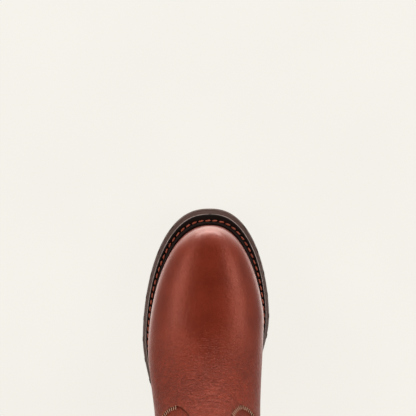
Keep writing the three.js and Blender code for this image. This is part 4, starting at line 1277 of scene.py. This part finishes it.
class BOOT_OT_stage(Operator):
    """Floor, soft lights, surroundings and the camera over the toe"""

    bl_idname = "boot.stage"
    bl_label = "Stage"

    def execute(self, context):
        scene = context.scene
        height, turn, roll = (math.radians(angle) for angle in CAMERA_ANGLES)
        data = bpy.data.cameras.new("toe_camera")
        data.sensor_width = SENSOR
        data.lens = SENSOR * FOCAL_PIXELS / FRAME_PIXELS
        camera = placed("toe_camera", data)
        level = Vector((math.sin(turn), math.cos(turn), 0)) * math.cos(height)
        camera.location = CAMERA_TARGET + CAMERA_AWAY * (level + Vector((0, 0, math.sin(height))))
        look_at(camera, CAMERA_TARGET, (math.sin(roll), math.cos(roll), 0))
        scene.camera = camera

        tone = tuple(scene.boot_colours.floor)
        floor = bpy.data.meshes.new("floor")
        corners = [(x, y, FLOOR_LEVEL) for x, y in ((-4, -4), (4, -4), (4, 4), (-4, 4))]
        floor.from_pydata(corners, [], [(0, 1, 2, 3)])
        material, tree, shader = surface("studio_floor", 0.0, 0.2)
        grain = spread(tree, noise(tree, object_place(tree), 8.0, 3.0), 0.3, 0.7)
        base = blend(tree, grain, shade(tone, 0.985), shade(tone))
        faint = blend(tree, grain, shade(tone, 0.05), shade(tone, 0.055))
        tree.links.new(faint, shader.inputs["Base Color"])
        shader.inputs["Roughness"].default_value = 0.9
        # A painted glow: these floor patches shine up to five times brighter to mirrored rays only, a light
        # that is no lamp, for the toe's glint and the leather's rims
        near = vectors(tree, "DISTANCE", object_place(tree), GLOW_FRONT)
        reach = vectors(tree, "LENGTH", object_place(tree, GLOW_BESIDE))
        front, beside = spread(tree, near, 0.1, 0.2, 1.0, 0.0), spread(tree, reach, 1.0, 1.2, 0.55, 0.0)
        mirrored_glow = blend(tree, maths(tree, "MAXIMUM", front, beside), shade(tone, 0.6), shade(tone, 5))
        mirrored = node(tree, "LightPath").outputs["Is Glossy Ray"]
        tree.links.new(blend(tree, mirrored, base, mirrored_glow), shader.inputs["Emission Color"])
        shader.inputs["Emission Strength"].default_value = FLOOR_GLOW
        floor.materials.append(material)
        ground = placed("floor", floor)

        world = bpy.data.worlds.new("studio")
        world.use_nodes = True
        sky = world.node_tree
        rise = node(sky, "SeparateXYZ", {0: node(sky, "TexCoord").outputs["Generated"]}).outputs[2]
        glow = blend(sky, spread(sky, rise, 0.0, 0.75, 1.0, 0.0), SKY_TOP, shade(tone))
        sky.links.new(glow, sky.nodes["Background"].inputs[0])
        sky.nodes["Background"].inputs[1].default_value = SKY_GLOW
        scene.world = world
        scene.view_settings.view_transform = "Standard"
        for name, spot, size, power in LAMPS:
            light = bpy.data.lights.new(name, "AREA")
            light.shape = "RECTANGLE"
            light.size, light.size_y = size
            light.energy, light.color = power, LAMP_COLOUR
            lamp = placed(name, light)
            lamp.location = spot
            look_at(lamp, LAMP_TARGET)
        return {"FINISHED"}


OPERATORS = (
    BOOT_OT_stage,
    BOOT_OT_upper,
    BOOT_OT_vamp,
    BOOT_OT_counter,
    BOOT_OT_side_seams,
    BOOT_OT_collar_binding,
    BOOT_OT_pull_straps,
    BOOT_OT_footbed,
    BOOT_OT_welt,
    BOOT_OT_outsole,
    BOOT_OT_heel,
)


class BOOT_PT_panel(Panel):
    """Lists the boot's pieces, sizes and colours"""

    bl_idname = "BOOT_PT_panel"
    bl_label = "Work boot"
    bl_space_type = "VIEW_3D"
    bl_region_type = "UI"
    bl_category = "Boot"

    def draw(self, context):
        for operator in OPERATORS:
            self.layout.operator(operator.bl_idname)
        for group in (context.scene.boot_sizes, context.scene.boot_colours):
            for name in type(group).__annotations__:
                self.layout.prop(group, name)


CLASSES = (BootSizes, BootColours, *OPERATORS, BOOT_PT_panel)


def register():
    for each in CLASSES:
        bpy.utils.register_class(each)
    bpy.types.Scene.boot_sizes = PointerProperty(type=BootSizes)
    bpy.types.Scene.boot_colours = PointerProperty(type=BootColours)


def unregister():
    del bpy.types.Scene.boot_sizes, bpy.types.Scene.boot_colours
    for each in reversed(CLASSES):
        bpy.utils.unregister_class(each)


def main():
    register()
    for operator in OPERATORS:
        area, name = operator.bl_idname.split(".")
        if getattr(getattr(bpy.ops, area), name)() != {"FINISHED"}:
            raise RuntimeError(operator.bl_label + " was not made")


if __name__ == "__main__":
    main()
